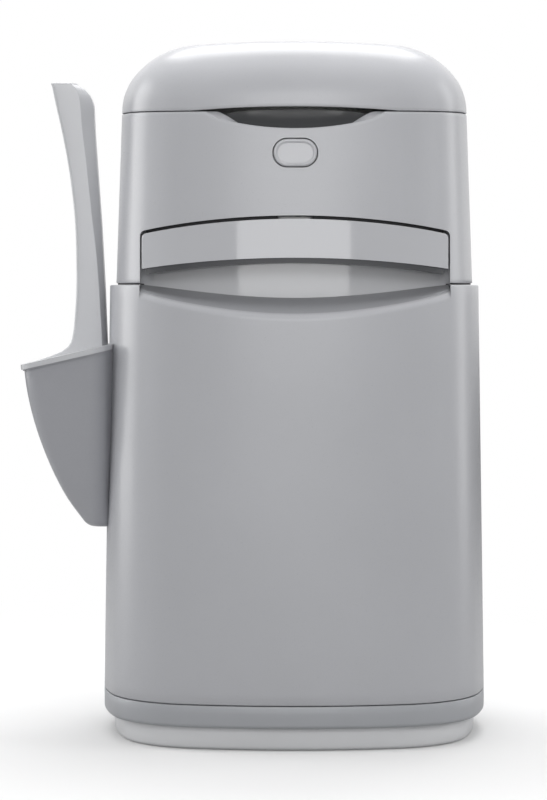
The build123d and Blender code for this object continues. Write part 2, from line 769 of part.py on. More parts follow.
with BuildPart() as recess_wall:
    add(recess_zone(RECESS_WALL, MOUTH_HALF + RECESS_WALL, HEAD_BOTTOM, RECESS_CEILING + RECESS_WALL))
    add(head_form(WALL, HEAD_BOTTOM - 1, DECK_BOTTOM), mode=Mode.INTERSECT)
    add(recess_zone(RECESS_WALL, MOUTH_HALF - 2.5, RECESS_FOOT, HEAD_BOTTOM + 1))
    add(recess_zone(0, MOUTH_HALF, RECESS_FOOT - 1, RECESS_CEILING), mode=Mode.SUBTRACT)
    for side in (-1, 1):
        slot_x = (side * RAIL_X - RAIL_WIDE / 2 - SLOT_CLEAR, side * RAIL_X + RAIL_WIDE / 2 + SLOT_CLEAR)
        slot_z = (RAIL_BOTTOM - SLOT_CLEAR, RAIL_TOP + SLOT_CLEAR)
        add(block(slot_x, (-90, -50), slot_z), mode=Mode.SUBTRACT)
        add(latch_ear(side))
        add(cross_bar(side * LATCH_EAR_X, 3, PIVOT, PIVOT_R), mode=Mode.SUBTRACT)
recess_wall.part.label = "recess_wall"
export_step(recess_wall.part, "parts/recess_wall.step")

handle_half = MOUTH_HALF - HANDLE_SIDE_GAP
handle_top = MOUTH_TOP - HANDLE_TOP_GAP
cover_foot_mid = HANDLE_BOTTOM_MID + HANDLE_BEVEL
cover_foot_end = HANDLE_BOTTOM_END + HANDLE_BEVEL
cover_prism = arched_prism(
    handle_half,
    handle_top,
    MOUTH_ARCH_RADIUS - HANDLE_TOP_GAP,
    MOUTH_CORNER - HANDLE_SIDE_GAP,
    cover_foot_mid,
    cover_foot_end,
)
cover_room = arched_prism(
    handle_half - HANDLE_SKIN, handle_top - HANDLE_SKIN, MOUTH_ARCH_RADIUS, HANDLE_INNER_CORNER, 270, 270
)
carriage_prism = arched_prism(
    handle_half - HANDLE_SKIN,
    handle_top - HANDLE_SKIN,
    MOUTH_ARCH_RADIUS,
    HANDLE_INNER_CORNER,
    HANDLE_BOTTOM_MID,
    HANDLE_BOTTOM_END,
)

with BuildPart() as cover_hollow:
    add(cover_room)
    add(head_form(HANDLE_SKIN, 265, 330), mode=Mode.INTERSECT)

with BuildPart() as pull_handle:
    add(cover_prism)
    add(head_form(0, HEAD_BOTTOM, 330), mode=Mode.INTERSECT)
    add(recess_zone(-HANDLE_LAP, handle_half + 1, 280, 330), mode=Mode.INTERSECT)
    front_edges = pull_handle.edges().filter_by(lambda edge: (edge @ 0.5).Z < cover_foot_mid + 1)
    foot = front_edges.filter_by(lambda edge: (edge @ 0.5).Y < -80)
    fillet(foot, HANDLE_EDGE)
    add(cover_hollow.part, mode=Mode.SUBTRACT)
pull_handle.part.label = "pull_handle"
export_step(pull_handle.part, "parts/pull_handle.step")

with BuildPart() as cover_skin:
    add(cover_prism)
    add(head_form(HANDLE_SKIN, 264, 331), mode=Mode.SUBTRACT)

with BuildPart() as handle_carriage:
    add(carriage_prism)
    add(head_form(CARRIAGE_SKIN, 265, 330), mode=Mode.INTERSECT)
    add(head_form(2 * HANDLE_SKIN, 264, 331), mode=Mode.SUBTRACT)
    add(recess_zone(-HANDLE_LAP, handle_half + 1, 264, 331), mode=Mode.INTERSECT)
    add(cover_skin.part, mode=Mode.SUBTRACT)
handle_carriage.part.label = "handle_carriage"
export_step(handle_carriage.part, "parts/handle_carriage.step")

# ---------------------------------------------------------------- gate: jaw frame, seals, guide frame

with BuildPart() as jaw_frame:
    with BuildSketch(Plane.XY.offset(RAIL_BOTTOM)):
        with Locations((0, (JAW_FRONT_Y + JAW_REAR_Y) / 2)):
            Rectangle(2 * RAIL_X + RAIL_WIDE, JAW_REAR_Y - JAW_FRONT_Y)
        for side in (-1, 1):
            with Locations((side * RAIL_X, (JAW_REAR_Y + RAIL_FRONT_Y) / 2)):
                Rectangle(RAIL_WIDE, JAW_REAR_Y - RAIL_FRONT_Y)
    extrude(amount=RAIL_TOP - RAIL_BOTTOM)
    with BuildSketch(Plane.XY.offset(RAIL_TOP)):
        with Locations((0, (JAW_FRONT_Y + JAW_REAR_Y) / 2 - 1)):
            with GridLocations(JAW_POCKET_PITCH, 0, JAW_POCKETS, 1):
                RectangleRounded(JAW_POCKET_LONG, JAW_REAR_Y - JAW_FRONT_Y - 5, 2)
    extrude(amount=-JAW_POCKET_DEEP, mode=Mode.SUBTRACT)
    add(head_form(2 * HANDLE_SKIN, 285, 320), mode=Mode.INTERSECT)
jaw_frame.part.label = "jaw_frame"
export_step(jaw_frame.part, "parts/jaw_frame.step")

with BuildPart() as moving_seal:
    with BuildSketch(Plane.YZ.offset(-JAW_HALF)):
        with Locations((JAW_REAR_Y + SEAL_THICK / 2, (RAIL_BOTTOM + RAIL_TOP) / 2)):
            Trapezoid(SEAL_TALL, SEAL_THICK, SEAL_ANGLE, rotation=-90)
    extrude(amount=2 * JAW_HALF)
moving_seal.part.label = "moving_seal"
export_step(moving_seal.part, "parts/moving_seal.step")

fixed_face = JAW_REAR_Y + 2 * SEAL_THICK + PINCH_GAP
with BuildPart() as fixed_seal:
    with BuildSketch(Plane.YZ.offset(-JAW_HALF)):
        with Locations((fixed_face - SEAL_THICK / 2, (RAIL_BOTTOM + RAIL_TOP) / 2)):
            Trapezoid(SEAL_TALL, SEAL_THICK, SEAL_ANGLE, rotation=90)
    extrude(amount=2 * JAW_HALF)
fixed_seal.part.label = "fixed_seal"
export_step(fixed_seal.part, "parts/fixed_seal.step")

with BuildPart() as fixed_jaw:
    with BuildSketch(Plane.XY.offset(FRAME_TOP)):
        with Locations((0, fixed_face + FIXED_JAW_THICK / 2)):
            RectangleRounded(2 * JAW_HALF + 24, FIXED_JAW_THICK, 3)
    extrude(amount=RAIL_TOP - FRAME_TOP)
    with BuildSketch(Plane.XY.offset(RAIL_TOP)):
        with Locations((0, fixed_face + 5.5)):
            with GridLocations(FIXED_POCKET_PITCH, 0, JAW_POCKETS, 1):
                RectangleRounded(FIXED_POCKET_LONG, 5.5, 1.5)
    extrude(amount=-FIXED_POCKET_DEEP, mode=Mode.SUBTRACT)
fixed_jaw.part.label = "fixed_jaw"
export_step(fixed_jaw.part, "parts/fixed_jaw.step")

with BuildPart() as gate_frame:
    with BuildSketch(Plane.XY.offset(FRAME_BOTTOM)):
        with Locations((0, (FRAME_FRONT_Y + FRAME_REAR_Y) / 2)):
            RectangleRounded(2 * FRAME_HALF, FRAME_REAR_Y - FRAME_FRONT_Y, FRAME_CORNER)
        with Locations((0, (APERTURE_FRONT_Y + fixed_face) / 2)):
            RectangleRounded(
                2 * APERTURE_HALF, fixed_face - APERTURE_FRONT_Y, APERTURE_CORNER, mode=Mode.SUBTRACT
            )
    extrude(amount=FRAME_TOP - FRAME_BOTTOM)
    for side in (-1, 1):
        inner = RAIL_X - RAIL_WIDE / 2 - GAP
        outer = RAIL_X + RAIL_WIDE / 2 + GAP
        guide_y = (FRAME_FRONT_Y + 3, FRAME_REAR_Y - 14)
        for wall in ((outer, outer + GUIDE_WALL), (inner - GUIDE_WALL, inner)):
            limits = sorted((side * wall[0], side * wall[1]))
            length = guide_y if wall[0] > RAIL_X else (guide_y[0], APERTURE_FRONT_Y - 14)
            add(block(limits, length, (FRAME_TOP, RAIL_TOP + 2)))
        lip = sorted((side * (RAIL_X + 0.4), side * (outer + GUIDE_WALL)))
        add(block(lip, guide_y, (RAIL_TOP + GAP, RAIL_TOP + 2)))
        stop = sorted((side * (SPRING_X - 5), side * (inner - GUIDE_WALL)))
        add(block(stop, (FRAME_FRONT_Y + 3, FRAME_FRONT_Y + 5.4), (FRAME_TOP, RAIL_TOP)))
    with BuildSketch(Plane.XY.offset(FRAME_BOTTOM)):
        for place in POST_PLACES:
            with Locations(place):
                Circle(GATE_HOLE_R)
    extrude(amount=FRAME_TOP - FRAME_BOTTOM, mode=Mode.SUBTRACT)
gate_frame.part.label = "gate_frame"
export_step(gate_frame.part, "parts/gate_frame.step")

# ---------------------------------------------------------------- funnel deck, posts, screws and springs

aperture_mid_y = (APERTURE_FRONT_Y + fixed_face) / 2
aperture_half_y = (fixed_face - APERTURE_FRONT_Y) / 2


def funnel_form(grow, foot):
    """Throat that runs from a circle at the deck to an oval above the gate."""
    with BuildPart() as throat:
        with BuildSketch(Plane.XY.offset(DECK_BOTTOM + DECK_THICK)):
            with Locations((0, THROAT_Y)):
                Circle(THROAT_R + grow)
        with BuildSketch(Plane.XY.offset(foot)):
            with Locations((0, aperture_mid_y)):
                Ellipse(APERTURE_HALF + grow, aperture_half_y + grow)
        loft()
    return throat.part


with BuildPart() as funnel_deck:
    add(head_form(WALL + GAP, DECK_BOTTOM, DECK_BOTTOM + DECK_THICK))
    add(block((-13.5, 13.5), (-110, -61), (320, 340)), mode=Mode.SUBTRACT)
    add(funnel_form(2.0, FUNNEL_FOOT))
    with BuildSketch(Plane.XY.offset(FRAME_TOP)):
        for place in POST_PLACES:
            with Locations(place):
                Circle(POST_R)
    extrude(amount=DECK_BOTTOM + 1 - FRAME_TOP)
    with BuildSketch(Plane.XY.offset(FRAME_TOP)):
        for place in POST_PLACES:
            with Locations(place):
                Circle(GATE_SCREW_R)
    extrude(amount=GATE_SCREW_LONG, mode=Mode.SUBTRACT)
    add(funnel_form(0, FUNNEL_FOOT), mode=Mode.SUBTRACT)
funnel_deck.part.label = "funnel_deck"
export_step(funnel_deck.part, "parts/funnel_deck.step")

with BuildPart() as gate_screws:
    with BuildSketch(Plane.XY.offset(FRAME_BOTTOM)):
        for place in POST_PLACES:
            with Locations(place):
                Circle(GATE_HEAD_R)
    extrude(amount=-SCREW_HEAD_TALL)
    with BuildSketch(Plane.XY.offset(FRAME_BOTTOM)):
        for place in POST_PLACES:
            with Locations(place):
                Circle(GATE_SCREW_R)
    extrude(amount=GATE_SCREW_LONG)
gate_screws.part.label = "gate_screws"
export_step(gate_screws.part, "parts/gate_screws.step")

spring_front = FRAME_FRONT_Y + 5.5
spring_length = JAW_FRONT_Y - 0.1 - spring_front
spring_z = (RAIL_BOTTOM + RAIL_TOP) / 2


def coil(x, y, z, length, radius, wire, turns):
    """Compression spring along +Y from a point on its axis."""
    with BuildPart() as spring:
        with BuildLine() as path:
            Helix(pitch=(length - 2 * wire) / turns, height=length - 2 * wire, radius=radius - wire)
        with BuildSketch(Plane(origin=path.line @ 0, z_dir=path.line % 0)):
            RegularPolygon(wire, 6)
        sweep(is_frenet=True)
    return spring.part.moved(Location((x, y + wire, z), (-90, 0, 0)))


with BuildPart() as gate_springs:
    for side in (-1, 1):
        spring_sizes = (SPRING_R, SPRING_WIRE, SPRING_TURNS)
        add(coil(side * SPRING_X, spring_front, spring_z, spring_length, *spring_sizes))
gate_springs.part.label = "gate_springs"
export_step(gate_springs.part, "parts/gate_springs.step")

# ---------------------------------------------------------------- refill cassette

with BuildPart() as cassette_body:
    with BuildSketch(Plane.XZ):
        with BuildLine():
            Polyline(
                (CASSETTE_BORE, CASSETTE_BOTTOM),
                (CASSETTE_R - CASSETTE_BEVEL, CASSETTE_BOTTOM),
                (CASSETTE_R, CASSETTE_BOTTOM + CASSETTE_BEVEL),
                (CASSETTE_R, CASSETTE_TOP),
                (CASSETTE_R - CASSETTE_WALL, CASSETTE_TOP),
                (CASSETTE_R - CASSETTE_WALL, CASSETTE_BOTTOM + CASSETTE_BEVEL + 0.7),
                (CASSETTE_R - CASSETTE_BEVEL - 0.7, CASSETTE_BOTTOM + CASSETTE_WALL),
                (CASSETTE_BORE + CASSETTE_WALL, CASSETTE_BOTTOM + CASSETTE_WALL),
                (CASSETTE_BORE + CASSETTE_WALL, CASSETTE_TOP - 4),
                (CASSETTE_BORE, CASSETTE_TOP - 4),
                close=True,
            )
        make_face()
    revolve(axis=Axis.Z, revolution_arc=360)
cassette_body.part = cassette_body.part.moved(Location((0, THROAT_Y, 0)))
cassette_body.part.label = "cassette_body"
export_step(cassette_body.part, "parts/cassette_body.step")

with BuildPart() as cassette_cover:
    with BuildSketch(Plane.XZ):
        with BuildLine():
            Polyline(
                (CASSETTE_BORE + 4, CASSETTE_TOP),
                (CASSETTE_R + COVER_LIP, CASSETTE_TOP),
                (CASSETTE_R + COVER_LIP, CASSETTE_TOP + COVER_THICK / 2),
                (CASSETTE_R - 0.6, CASSETTE_TOP + COVER_THICK),
                (CASSETTE_BORE + 6, CASSETTE_TOP + COVER_THICK),
                (CASSETTE_BORE + 4, CASSETTE_TOP + COVER_THICK / 2),
                close=True,
            )
        make_face()
    revolve(axis=Axis.Z, revolution_arc=360)
    with BuildSketch(Plane.XY.offset(CASSETTE_TOP + COVER_THICK)):
        with PolarLocations(COVER_GRIP_R, 4):
            SlotOverall(COVER_GRIP_LONG, COVER_GRIP_WIDE, rotation=90)
    extrude(amount=-1.0, mode=Mode.SUBTRACT)
cassette_cover.part = cassette_cover.part.moved(Location((0, THROAT_Y, 0)))
cassette_cover.part.label = "cassette_cover"
export_step(cassette_cover.part, "parts/cassette_cover.step")

with BuildPart() as film_pack:
    with BuildSketch(Plane.XY.offset(CASSETTE_BOTTOM + 2)):
        with Locations((0, THROAT_Y)):
            Circle(CASSETTE_R - 5.5)
            Circle(CASSETTE_BORE + 2.2, mode=Mode.SUBTRACT)
    extrude(amount=CASSETTE_TOP - CASSETTE_BOTTOM - 6)
film_pack.part.label = "film_pack"
export_step(film_pack.part, "parts/film_pack.step")

# ---------------------------------------------------------------- release button and latch

with BuildPart() as release_button:
    add(stadium_prism(0, -110, BUTTON_FLANGE_Y + 0.5))
    add(head_form(0.1, 340, 380), mode=Mode.INTERSECT)
    chamfer(release_button.faces().sort_by(Axis.Y)[0].edges(), BUTTON_BEVEL * 0.5, BUTTON_BEVEL)
    add(stadium_prism(BUTTON_FLANGE_GROW, BUTTON_FLANGE_Y, BUTTON_FLANGE_Y + BUTTON_FLANGE))
    with BuildSketch(Plane.XZ.offset(-BUTTON_FLANGE_Y)):
        with Locations((0, BUTTON_Z)):
            Circle(BUTTON_STEM_R)
    extrude(amount=PIVOT_Y - LEVER_THICK / 2 - 0.5 - BUTTON_FLANGE_Y, dir=(0, 1, 0))
release_button.part.label = "release_button"
export_step(release_button.part, "parts/release_button.step")

with BuildPart() as button_guide:
    add(stadium_prism(GUIDE_OUTER, -110, GUIDE_REAR_Y))
    add(head_form(WALL, 340, 385), mode=Mode.INTERSECT)
    add(stadium_prism(GUIDE_INNER, -110, GUIDE_REAR_Y - GUIDE_PLATE), mode=Mode.SUBTRACT)
    with BuildSketch(Plane.XZ.offset(-GUIDE_REAR_Y + 5)):
        with Locations((0, BUTTON_Z)):
            Circle(GUIDE_BORE_R)
    extrude(amount=-20, mode=Mode.SUBTRACT)
button_guide.part.label = "button_guide"
export_step(button_guide.part, "parts/button_guide.step")

spring_seat = BUTTON_FLANGE_Y + BUTTON_FLANGE
button_spring_length = GUIDE_REAR_Y - GUIDE_PLATE - spring_seat
with BuildPart() as button_spring:
    coil_sizes = (BUTTON_COIL_R, BUTTON_WIRE, BUTTON_TURNS)
    add(coil(0, spring_seat, BUTTON_Z, button_spring_length, *coil_sizes))
button_spring.part.label = "button_spring"
export_step(button_spring.part, "parts/button_spring.step")

lever_front_y = LEVER_REAR_Y - LEVER_THICK
jog_bottom = RECESS_CEILING + RECESS_WALL + 0.8
with BuildPart() as latch_lever:
    with BuildSketch(Plane.YZ.offset(-LEVER_HALF)):
        with BuildLine():
            Polyline(
                (PIVOT_Y - LEVER_THICK / 2, LEVER_TOP),
                (PIVOT_Y - LEVER_THICK / 2, PIVOT_Z),
                (PIVOT_Y, jog_bottom),
                (lever_front_y - 3, jog_bottom),
                (lever_front_y, jog_bottom - 3),
                (lever_front_y, HOOK_BOTTOM + 2),
                (lever_front_y + 2, HOOK_BOTTOM),
                (HOOK_TIP_Y - 2.4, HOOK_BOTTOM),
                (HOOK_TIP_Y, HOOK_TOP - 1.2),
                (HOOK_TIP_Y, HOOK_TOP),
                (LEVER_REAR_Y, HOOK_TOP),
                (LEVER_REAR_Y, jog_bottom - 1),
                (LEVER_REAR_Y - 3, jog_bottom + LEVER_JOG_THICK),
                (PIVOT_Y + 3.5, jog_bottom + LEVER_JOG_THICK),
                (PIVOT_Y + LEVER_THICK / 2, PIVOT_Z + 3),
                (PIVOT_Y + LEVER_THICK / 2, LEVER_TOP),
                close=True,
            )
        make_face()
        with Locations(PIVOT):
            Circle(LEVER_BARREL_R)
    extrude(amount=2 * LEVER_HALF)
    add(block((-5, 5), (lever_front_y - 1, LEVER_REAR_Y + 1), (272, 312)), mode=Mode.SUBTRACT)
    add(cross_bar(0, LEVER_HALF + 1, PIVOT, PIVOT_R + RUNNING), mode=Mode.SUBTRACT)
latch_lever.part.label = "latch_lever"
export_step(latch_lever.part, "parts/latch_lever.step")

with BuildPart() as latch_pin:
    add(cross_bar(0, LATCH_EAR_X + LATCH_EAR_THICK / 2, PIVOT, PIVOT_R))
latch_pin.part.label = "latch_pin"
export_step(latch_pin.part, "parts/latch_pin.step")


def keeper_gusset(side):
    """Small web that ties the keeper's shelf to its back plate at one end."""
    with BuildPart() as gusset:
        with BuildSketch(Plane.YZ.offset(side * (KEEPER_HALF - GUSSET_THICK / 2) - GUSSET_THICK / 2)):
            with BuildLine():
                Polyline((-82, KEEPER_BOTTOM), (-62, KEEPER_BOTTOM), (-82, KEEPER_BOTTOM + 6), close=True)
            make_face()
        extrude(amount=GUSSET_THICK)
    return gusset.part


with BuildPart() as latch_keeper:
    keeper_x = (-KEEPER_HALF, KEEPER_HALF)
    add(block(keeper_x, (KEEPER_FRONT_Y, KEEPER_REAR_Y), (KEEPER_BOTTOM, KEEPER_BOTTOM + KEEPER_THICK)))
    add(block(keeper_x, (KEEPER_FRONT_Y, KEEPER_FRONT_Y + KEEPER_THICK), (KEEPER_BOTTOM, KEEPER_TOP)))
    window_rear = HOOK_TIP_Y + GAP
    window_half = LEVER_HALF + WINDOW_SIDE
    add(block((-window_half, window_half), (WINDOW_FRONT_Y, window_rear), (250, 270)), mode=Mode.SUBTRACT)
    for side in (-1, 1):
        add(keeper_gusset(side))
    add(above_floor(FLOOR_THICK, MOUTH_HALF + WALL), mode=Mode.SUBTRACT)
latch_keeper.part.label = "latch_keeper"
export_step(latch_keeper.part, "parts/latch_keeper.step")

# ---------------------------------------------------------------- film cutter on the pail's inner wall

with BuildPart() as cutter_body:
    with BuildSketch(Plane.XZ.offset(-CUTTER_HALF)):
        with BuildLine():
            Polyline(
                (CUTTER_X + 6, CUTTER_LOW - 6),
                (CUTTER_X - CUTTER_DEEP, CUTTER_LOW + 4),
                (CUTTER_X - CUTTER_DEEP, CUTTER_HIGH),
                (CUTTER_X + 6, CUTTER_HIGH),
                close=True,
            )
        make_face()
    extrude(amount=2 * CUTTER_HALF)
    fillet(cutter_body.edges().filter_by(Axis.Z), 2.0)
    with BuildSketch(Plane.YZ.offset(CUTTER_X - 4)):
        with BuildLine():
            Polyline(
                (-CUTTER_NOTCH_HALF, CUTTER_HIGH + 1),
                (CUTTER_NOTCH_HALF, CUTTER_HIGH + 1),
                (2, CUTTER_NOTCH_LOW),
                (-2, CUTTER_NOTCH_LOW),
                close=True,
            )
        make_face()
    extrude(amount=CUTTER_SLIT, mode=Mode.SUBTRACT)
    blade_x = (BLADE_X, BLADE_X + BLADE_THICK)
    add(block(blade_x, (-BLADE_HALF, BLADE_HALF), (BLADE_LOW, BLADE_HIGH)), mode=Mode.SUBTRACT)
    add(pail_form(WALL, 200, RIM_TOP), mode=Mode.INTERSECT)
cutter_body.part.label = "cutter_body"
export_step(cutter_body.part, "parts/cutter_body.step")

with BuildPart() as cutter_blade:
    with BuildSketch(Plane.YZ.offset(BLADE_X)):
        with BuildLine():
            Polyline(
                (-BLADE_HALF, BLADE_LOW),
                (BLADE_HALF, BLADE_LOW),
                (BLADE_HALF, BLADE_LOW + 4.5),
                (6, BLADE_HIGH),
                (-6, BLADE_HIGH),
                (-BLADE_HALF, BLADE_LOW + 4.5),
                close=True,
            )
        make_face()
    extrude(amount=BLADE_THICK)
cutter_blade.part.label = "cutter_blade"
export_step(cutter_blade.part, "parts/cutter_blade.step")

# ---------------------------------------------------------------- scoop holder


def holder_section(level, left_x, shoulder_x, left_half, body_half, corner, inset):
    """Plan of the cup at one level: flat flanks that close in to the left, rounded at every corner."""
    with BuildSketch(Plane.XY.offset(level)) as section:
        with BuildLine():
            Polyline(
                (HOLDER_BACK_X, -body_half + HOLDER_TURN_IN + inset),
                (shoulder_x, -body_half + inset),
                (left_x + inset, -left_half + inset),
                (left_x + inset, left_half - inset),
                (shoulder_x, body_half - inset),
                (HOLDER_BACK_X, body_half - HOLDER_TURN_IN - inset),
                close=True,
            )
        make_face()
        fillet(section.vertices().group_by(Axis.X)[0], corner)
        fillet(section.vertices().filter_by(lambda v: abs(v.X - shoulder_x) < 0.01), corner / 2)
    return section.sketch.face()


def holder_form(inset):
    """Cup's outer form, offset inwards by the inset."""
    with BuildPart() as form:
        sections = [holder_section(*size, inset) for size in HOLDER_SECTIONS]
        loft(sections=sections)
    return form.part


def rim_plane(rise):
    """Plane of the cup's rim, which climbs towards the pail, raised by the rise."""
    slope = math.radians(RIM_SLOPE)
    upwards = (-math.sin(slope), 0, math.cos(slope))
    rim = Plane(origin=(RIM_LEFT_X, 0, RIM_LEFT_Z), x_dir=(0, 1, 0), z_dir=upwards)
    return rim.offset(rise)


with BuildPart() as holder_rim:
    add(holder_form(-HOLDER_RIM_BEAD))
    split(bisect_by=rim_plane(-HOLDER_RIM_DEEP), keep=Keep.TOP)

with BuildPart() as cup_room:
    add(holder_form(WALL))
    add(pail_form(-HOLDER_CLEAR - WALL, 100, 260), mode=Mode.SUBTRACT)
    add(block((-200, -90), (-80, 80), (HOLDER_BOTTOM + WALL, 260)), mode=Mode.INTERSECT)

with BuildPart() as scoop_holder:
    add(holder_form(0))
    add(holder_rim.part)
    split(bisect_by=rim_plane(0), keep=Keep.BOTTOM)
    add(cup_room.part, mode=Mode.SUBTRACT)
    add(pail_form(-HOLDER_CLEAR, 100, 260), mode=Mode.SUBTRACT)
    for side in (-1, 1):
        tab_y = (side * HOOK_TAB_Y - HOOK_TAB_HALF, side * HOOK_TAB_Y + HOOK_TAB_HALF)
        tab_top = HOOK_TAB_Z + HOOK_TAB_THICK / 2
        add(block((HOOK_ROOT_X, HOOK_INNER_X), tab_y, (tab_top - HOOK_TAB_THICK, tab_top)))
        add(block((HOOK_SHANK_X, HOOK_INNER_X), tab_y, (HOOK_TAB_Z - HOOK_TAB_DROP, tab_top)))
scoop_holder.part.label = "scoop_holder"
export_step(scoop_holder.part, "parts/scoop_holder.step")

# ---------------------------------------------------------------- scoop

basket_floor = HOLDER_BOTTOM + 2 * WALL
with BuildPart() as basket_room:
    add(holder_form(WALL + SCOOP_CLEAR + SCOOP_SKIN))
    add(block((-200, SCOOP_OPEN_X + 5), (-80, 80), (basket_floor + SCOOP_SKIN, 260)), mode=Mode.INTERSECT)

with BuildPart() as scoop_basket:
    add(holder_form(WALL + SCOOP_CLEAR))
    split(bisect_by=rim_plane(SCOOP_REST), keep=Keep.BOTTOM)
    add(block((-200, SCOOP_OPEN_X), (-80, 80), (basket_floor, 260)), mode=Mode.INTERSECT)
    add(basket_room.part, mode=Mode.SUBTRACT)
    with BuildSketch(Plane.YZ.offset(-200)):
        for row_z, count in SLOT_ROWS:
            with Locations((0, row_z)):
                with GridLocations(SLOT_PITCH, 0, count, 1):
                    SlotOverall(SLOT_LONG, SLOT_WIDE, rotation=90)
    extrude(amount=70, mode=Mode.SUBTRACT)

with BuildPart() as scoop_plate:
    add(holder_form(-SCOOP_LIP))
    split(bisect_by=rim_plane(SCOOP_REST), keep=Keep.TOP)
    split(bisect_by=rim_plane(SCOOP_REST + SCOOP_PLATE), keep=Keep.BOTTOM)
    add(block((-200, SCOOP_OPEN_X + 3.2), (-80, 80), (200, 260)), mode=Mode.INTERSECT)

with BuildPart() as scoop:
    with BuildSketch(Plane.XZ.offset(-SCOOP_HALF)):
        with BuildLine():
            Spline(
                (-154.4, SCOOP_TOP),
                (-146.3, 371),
                (-140.5, 330),
                (-139.0, 289),
                (-141.5, 248.5),
                (-148.5, 237.5),
                (SCOOP_FOOT_X, SCOOP_FOOT_Z),
            )
            Line((SCOOP_FOOT_X, SCOOP_FOOT_Z), (SCOOP_FOOT_X, SCOOP_ROOT))
            Line((SCOOP_FOOT_X, SCOOP_ROOT), (SCOOP_FACE_X, SCOOP_ROOT))
            Line((SCOOP_FACE_X, SCOOP_ROOT), (SCOOP_FACE_X, SCOOP_FACE_Z))
            Spline(
                (SCOOP_FACE_X, SCOOP_FACE_Z),
                (-120.6, 268.9),
                (-124.1, 330.1),
                (-127.6, 381),
                (-128.2, 396),
            )
            ThreePointArc((-128.2, 396), (-131.6, 404.4), (-140, SCOOP_TOP))
            Line((-140, SCOOP_TOP), (-154.4, SCOOP_TOP))
        make_face()
    extrude(amount=2 * SCOOP_HALF)
    long_edges = scoop.edges().filter_by(lambda edge: edge.length > 150)
    chamfer(long_edges.group_by(Axis.X)[-1], *SCOOP_BEVEL)
    left_edges = scoop.edges().filter_by(lambda edge: edge.length > 150 and (edge @ 0.5).X < -138)
    fillet(left_edges, SCOOP_EDGE)
    split(bisect_by=rim_plane(SCOOP_REST), keep=Keep.TOP)
    add(scoop_basket.part)
    add(scoop_plate.part)
scoop.part.label = "scoop"
export_step(scoop.part, "parts/scoop.step")
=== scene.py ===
import logging
import math
from collections.abc import Callable, Iterable, Sequence
from dataclasses import dataclass, field
from enum import Enum

import bmesh
import bpy
from mathutils import Matrix, Vector


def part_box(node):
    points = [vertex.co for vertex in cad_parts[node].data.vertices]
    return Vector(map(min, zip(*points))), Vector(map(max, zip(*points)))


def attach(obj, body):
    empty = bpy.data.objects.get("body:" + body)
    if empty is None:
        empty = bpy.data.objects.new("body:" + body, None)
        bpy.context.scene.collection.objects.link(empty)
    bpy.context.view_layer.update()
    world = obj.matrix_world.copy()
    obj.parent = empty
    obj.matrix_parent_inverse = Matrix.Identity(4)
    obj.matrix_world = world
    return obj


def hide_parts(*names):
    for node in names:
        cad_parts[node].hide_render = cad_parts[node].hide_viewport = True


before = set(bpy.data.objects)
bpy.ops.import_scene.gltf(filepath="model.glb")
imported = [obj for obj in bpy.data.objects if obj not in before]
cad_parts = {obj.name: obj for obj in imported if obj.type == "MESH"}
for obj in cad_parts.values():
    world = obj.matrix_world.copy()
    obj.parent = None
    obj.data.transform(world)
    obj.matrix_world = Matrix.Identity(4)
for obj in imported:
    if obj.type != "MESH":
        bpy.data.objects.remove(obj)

logging.basicConfig(level=logging.INFO, format="%(message)s")
log = logging.getLogger("litter_pail")

MM = 0.001
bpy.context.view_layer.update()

Place = Callable[["Station"], Vector]


# ---------------------------------------------------------------- finishes


def linear(hex_colour: str) -> tuple[float, float, float, float]:
    """Turns an sRGB hex colour into linear red, green, blue and full alpha.

    Args:
        hex_colour: six hex digits, such as "b0b1b5".

    Returns:
        The four linear channels that Blender's sockets expect.
    """
    channels = []
    for start in (0, 2, 4):
        value = int(hex_colour[start : start + 2], 16) / 255.0
        channels.append(value / 12.92 if value <= 0.04045 else ((value + 0.055) / 1.055) ** 2.4)
    return (channels[0], channels[1], channels[2], 1.0)


def add_node(tree: bpy.types.NodeTree, kind: str, inputs: dict | None = None, **settings: object) -> bpy.types.Node:
    """Adds one node with its settings, socket values and links.

    Args:
        tree: the node tree to add to.
        kind: the node's type name.
        inputs: socket name or number to a value, or to the output socket that feeds it.
        **settings: properties of the node itself.

    Returns:
        The new node.
    """
    node = tree.nodes.new(kind)
    for name, value in settings.items():
        setattr(node, name, value)
    for name, value in (inputs or {}).items():
        if isinstance(value, bpy.types.NodeSocket):
            tree.links.new(value, node.inputs[name])
        else:
            node.inputs[name].default_value = value
    return node


def blank_material(name: str) -> bpy.types.Material:
    """Makes an empty node material."""
    material = bpy.data.materials.new(name)
    material.use_nodes = True
    material.node_tree.nodes.clear()
    return material


def object_coordinates(tree: bpy.types.NodeTree) -> bpy.types.NodeSocket:
    """Gives the Object coordinates of the piece that the material is on."""
    return add_node(tree, "ShaderNodeTexCoord").outputs["Object"]


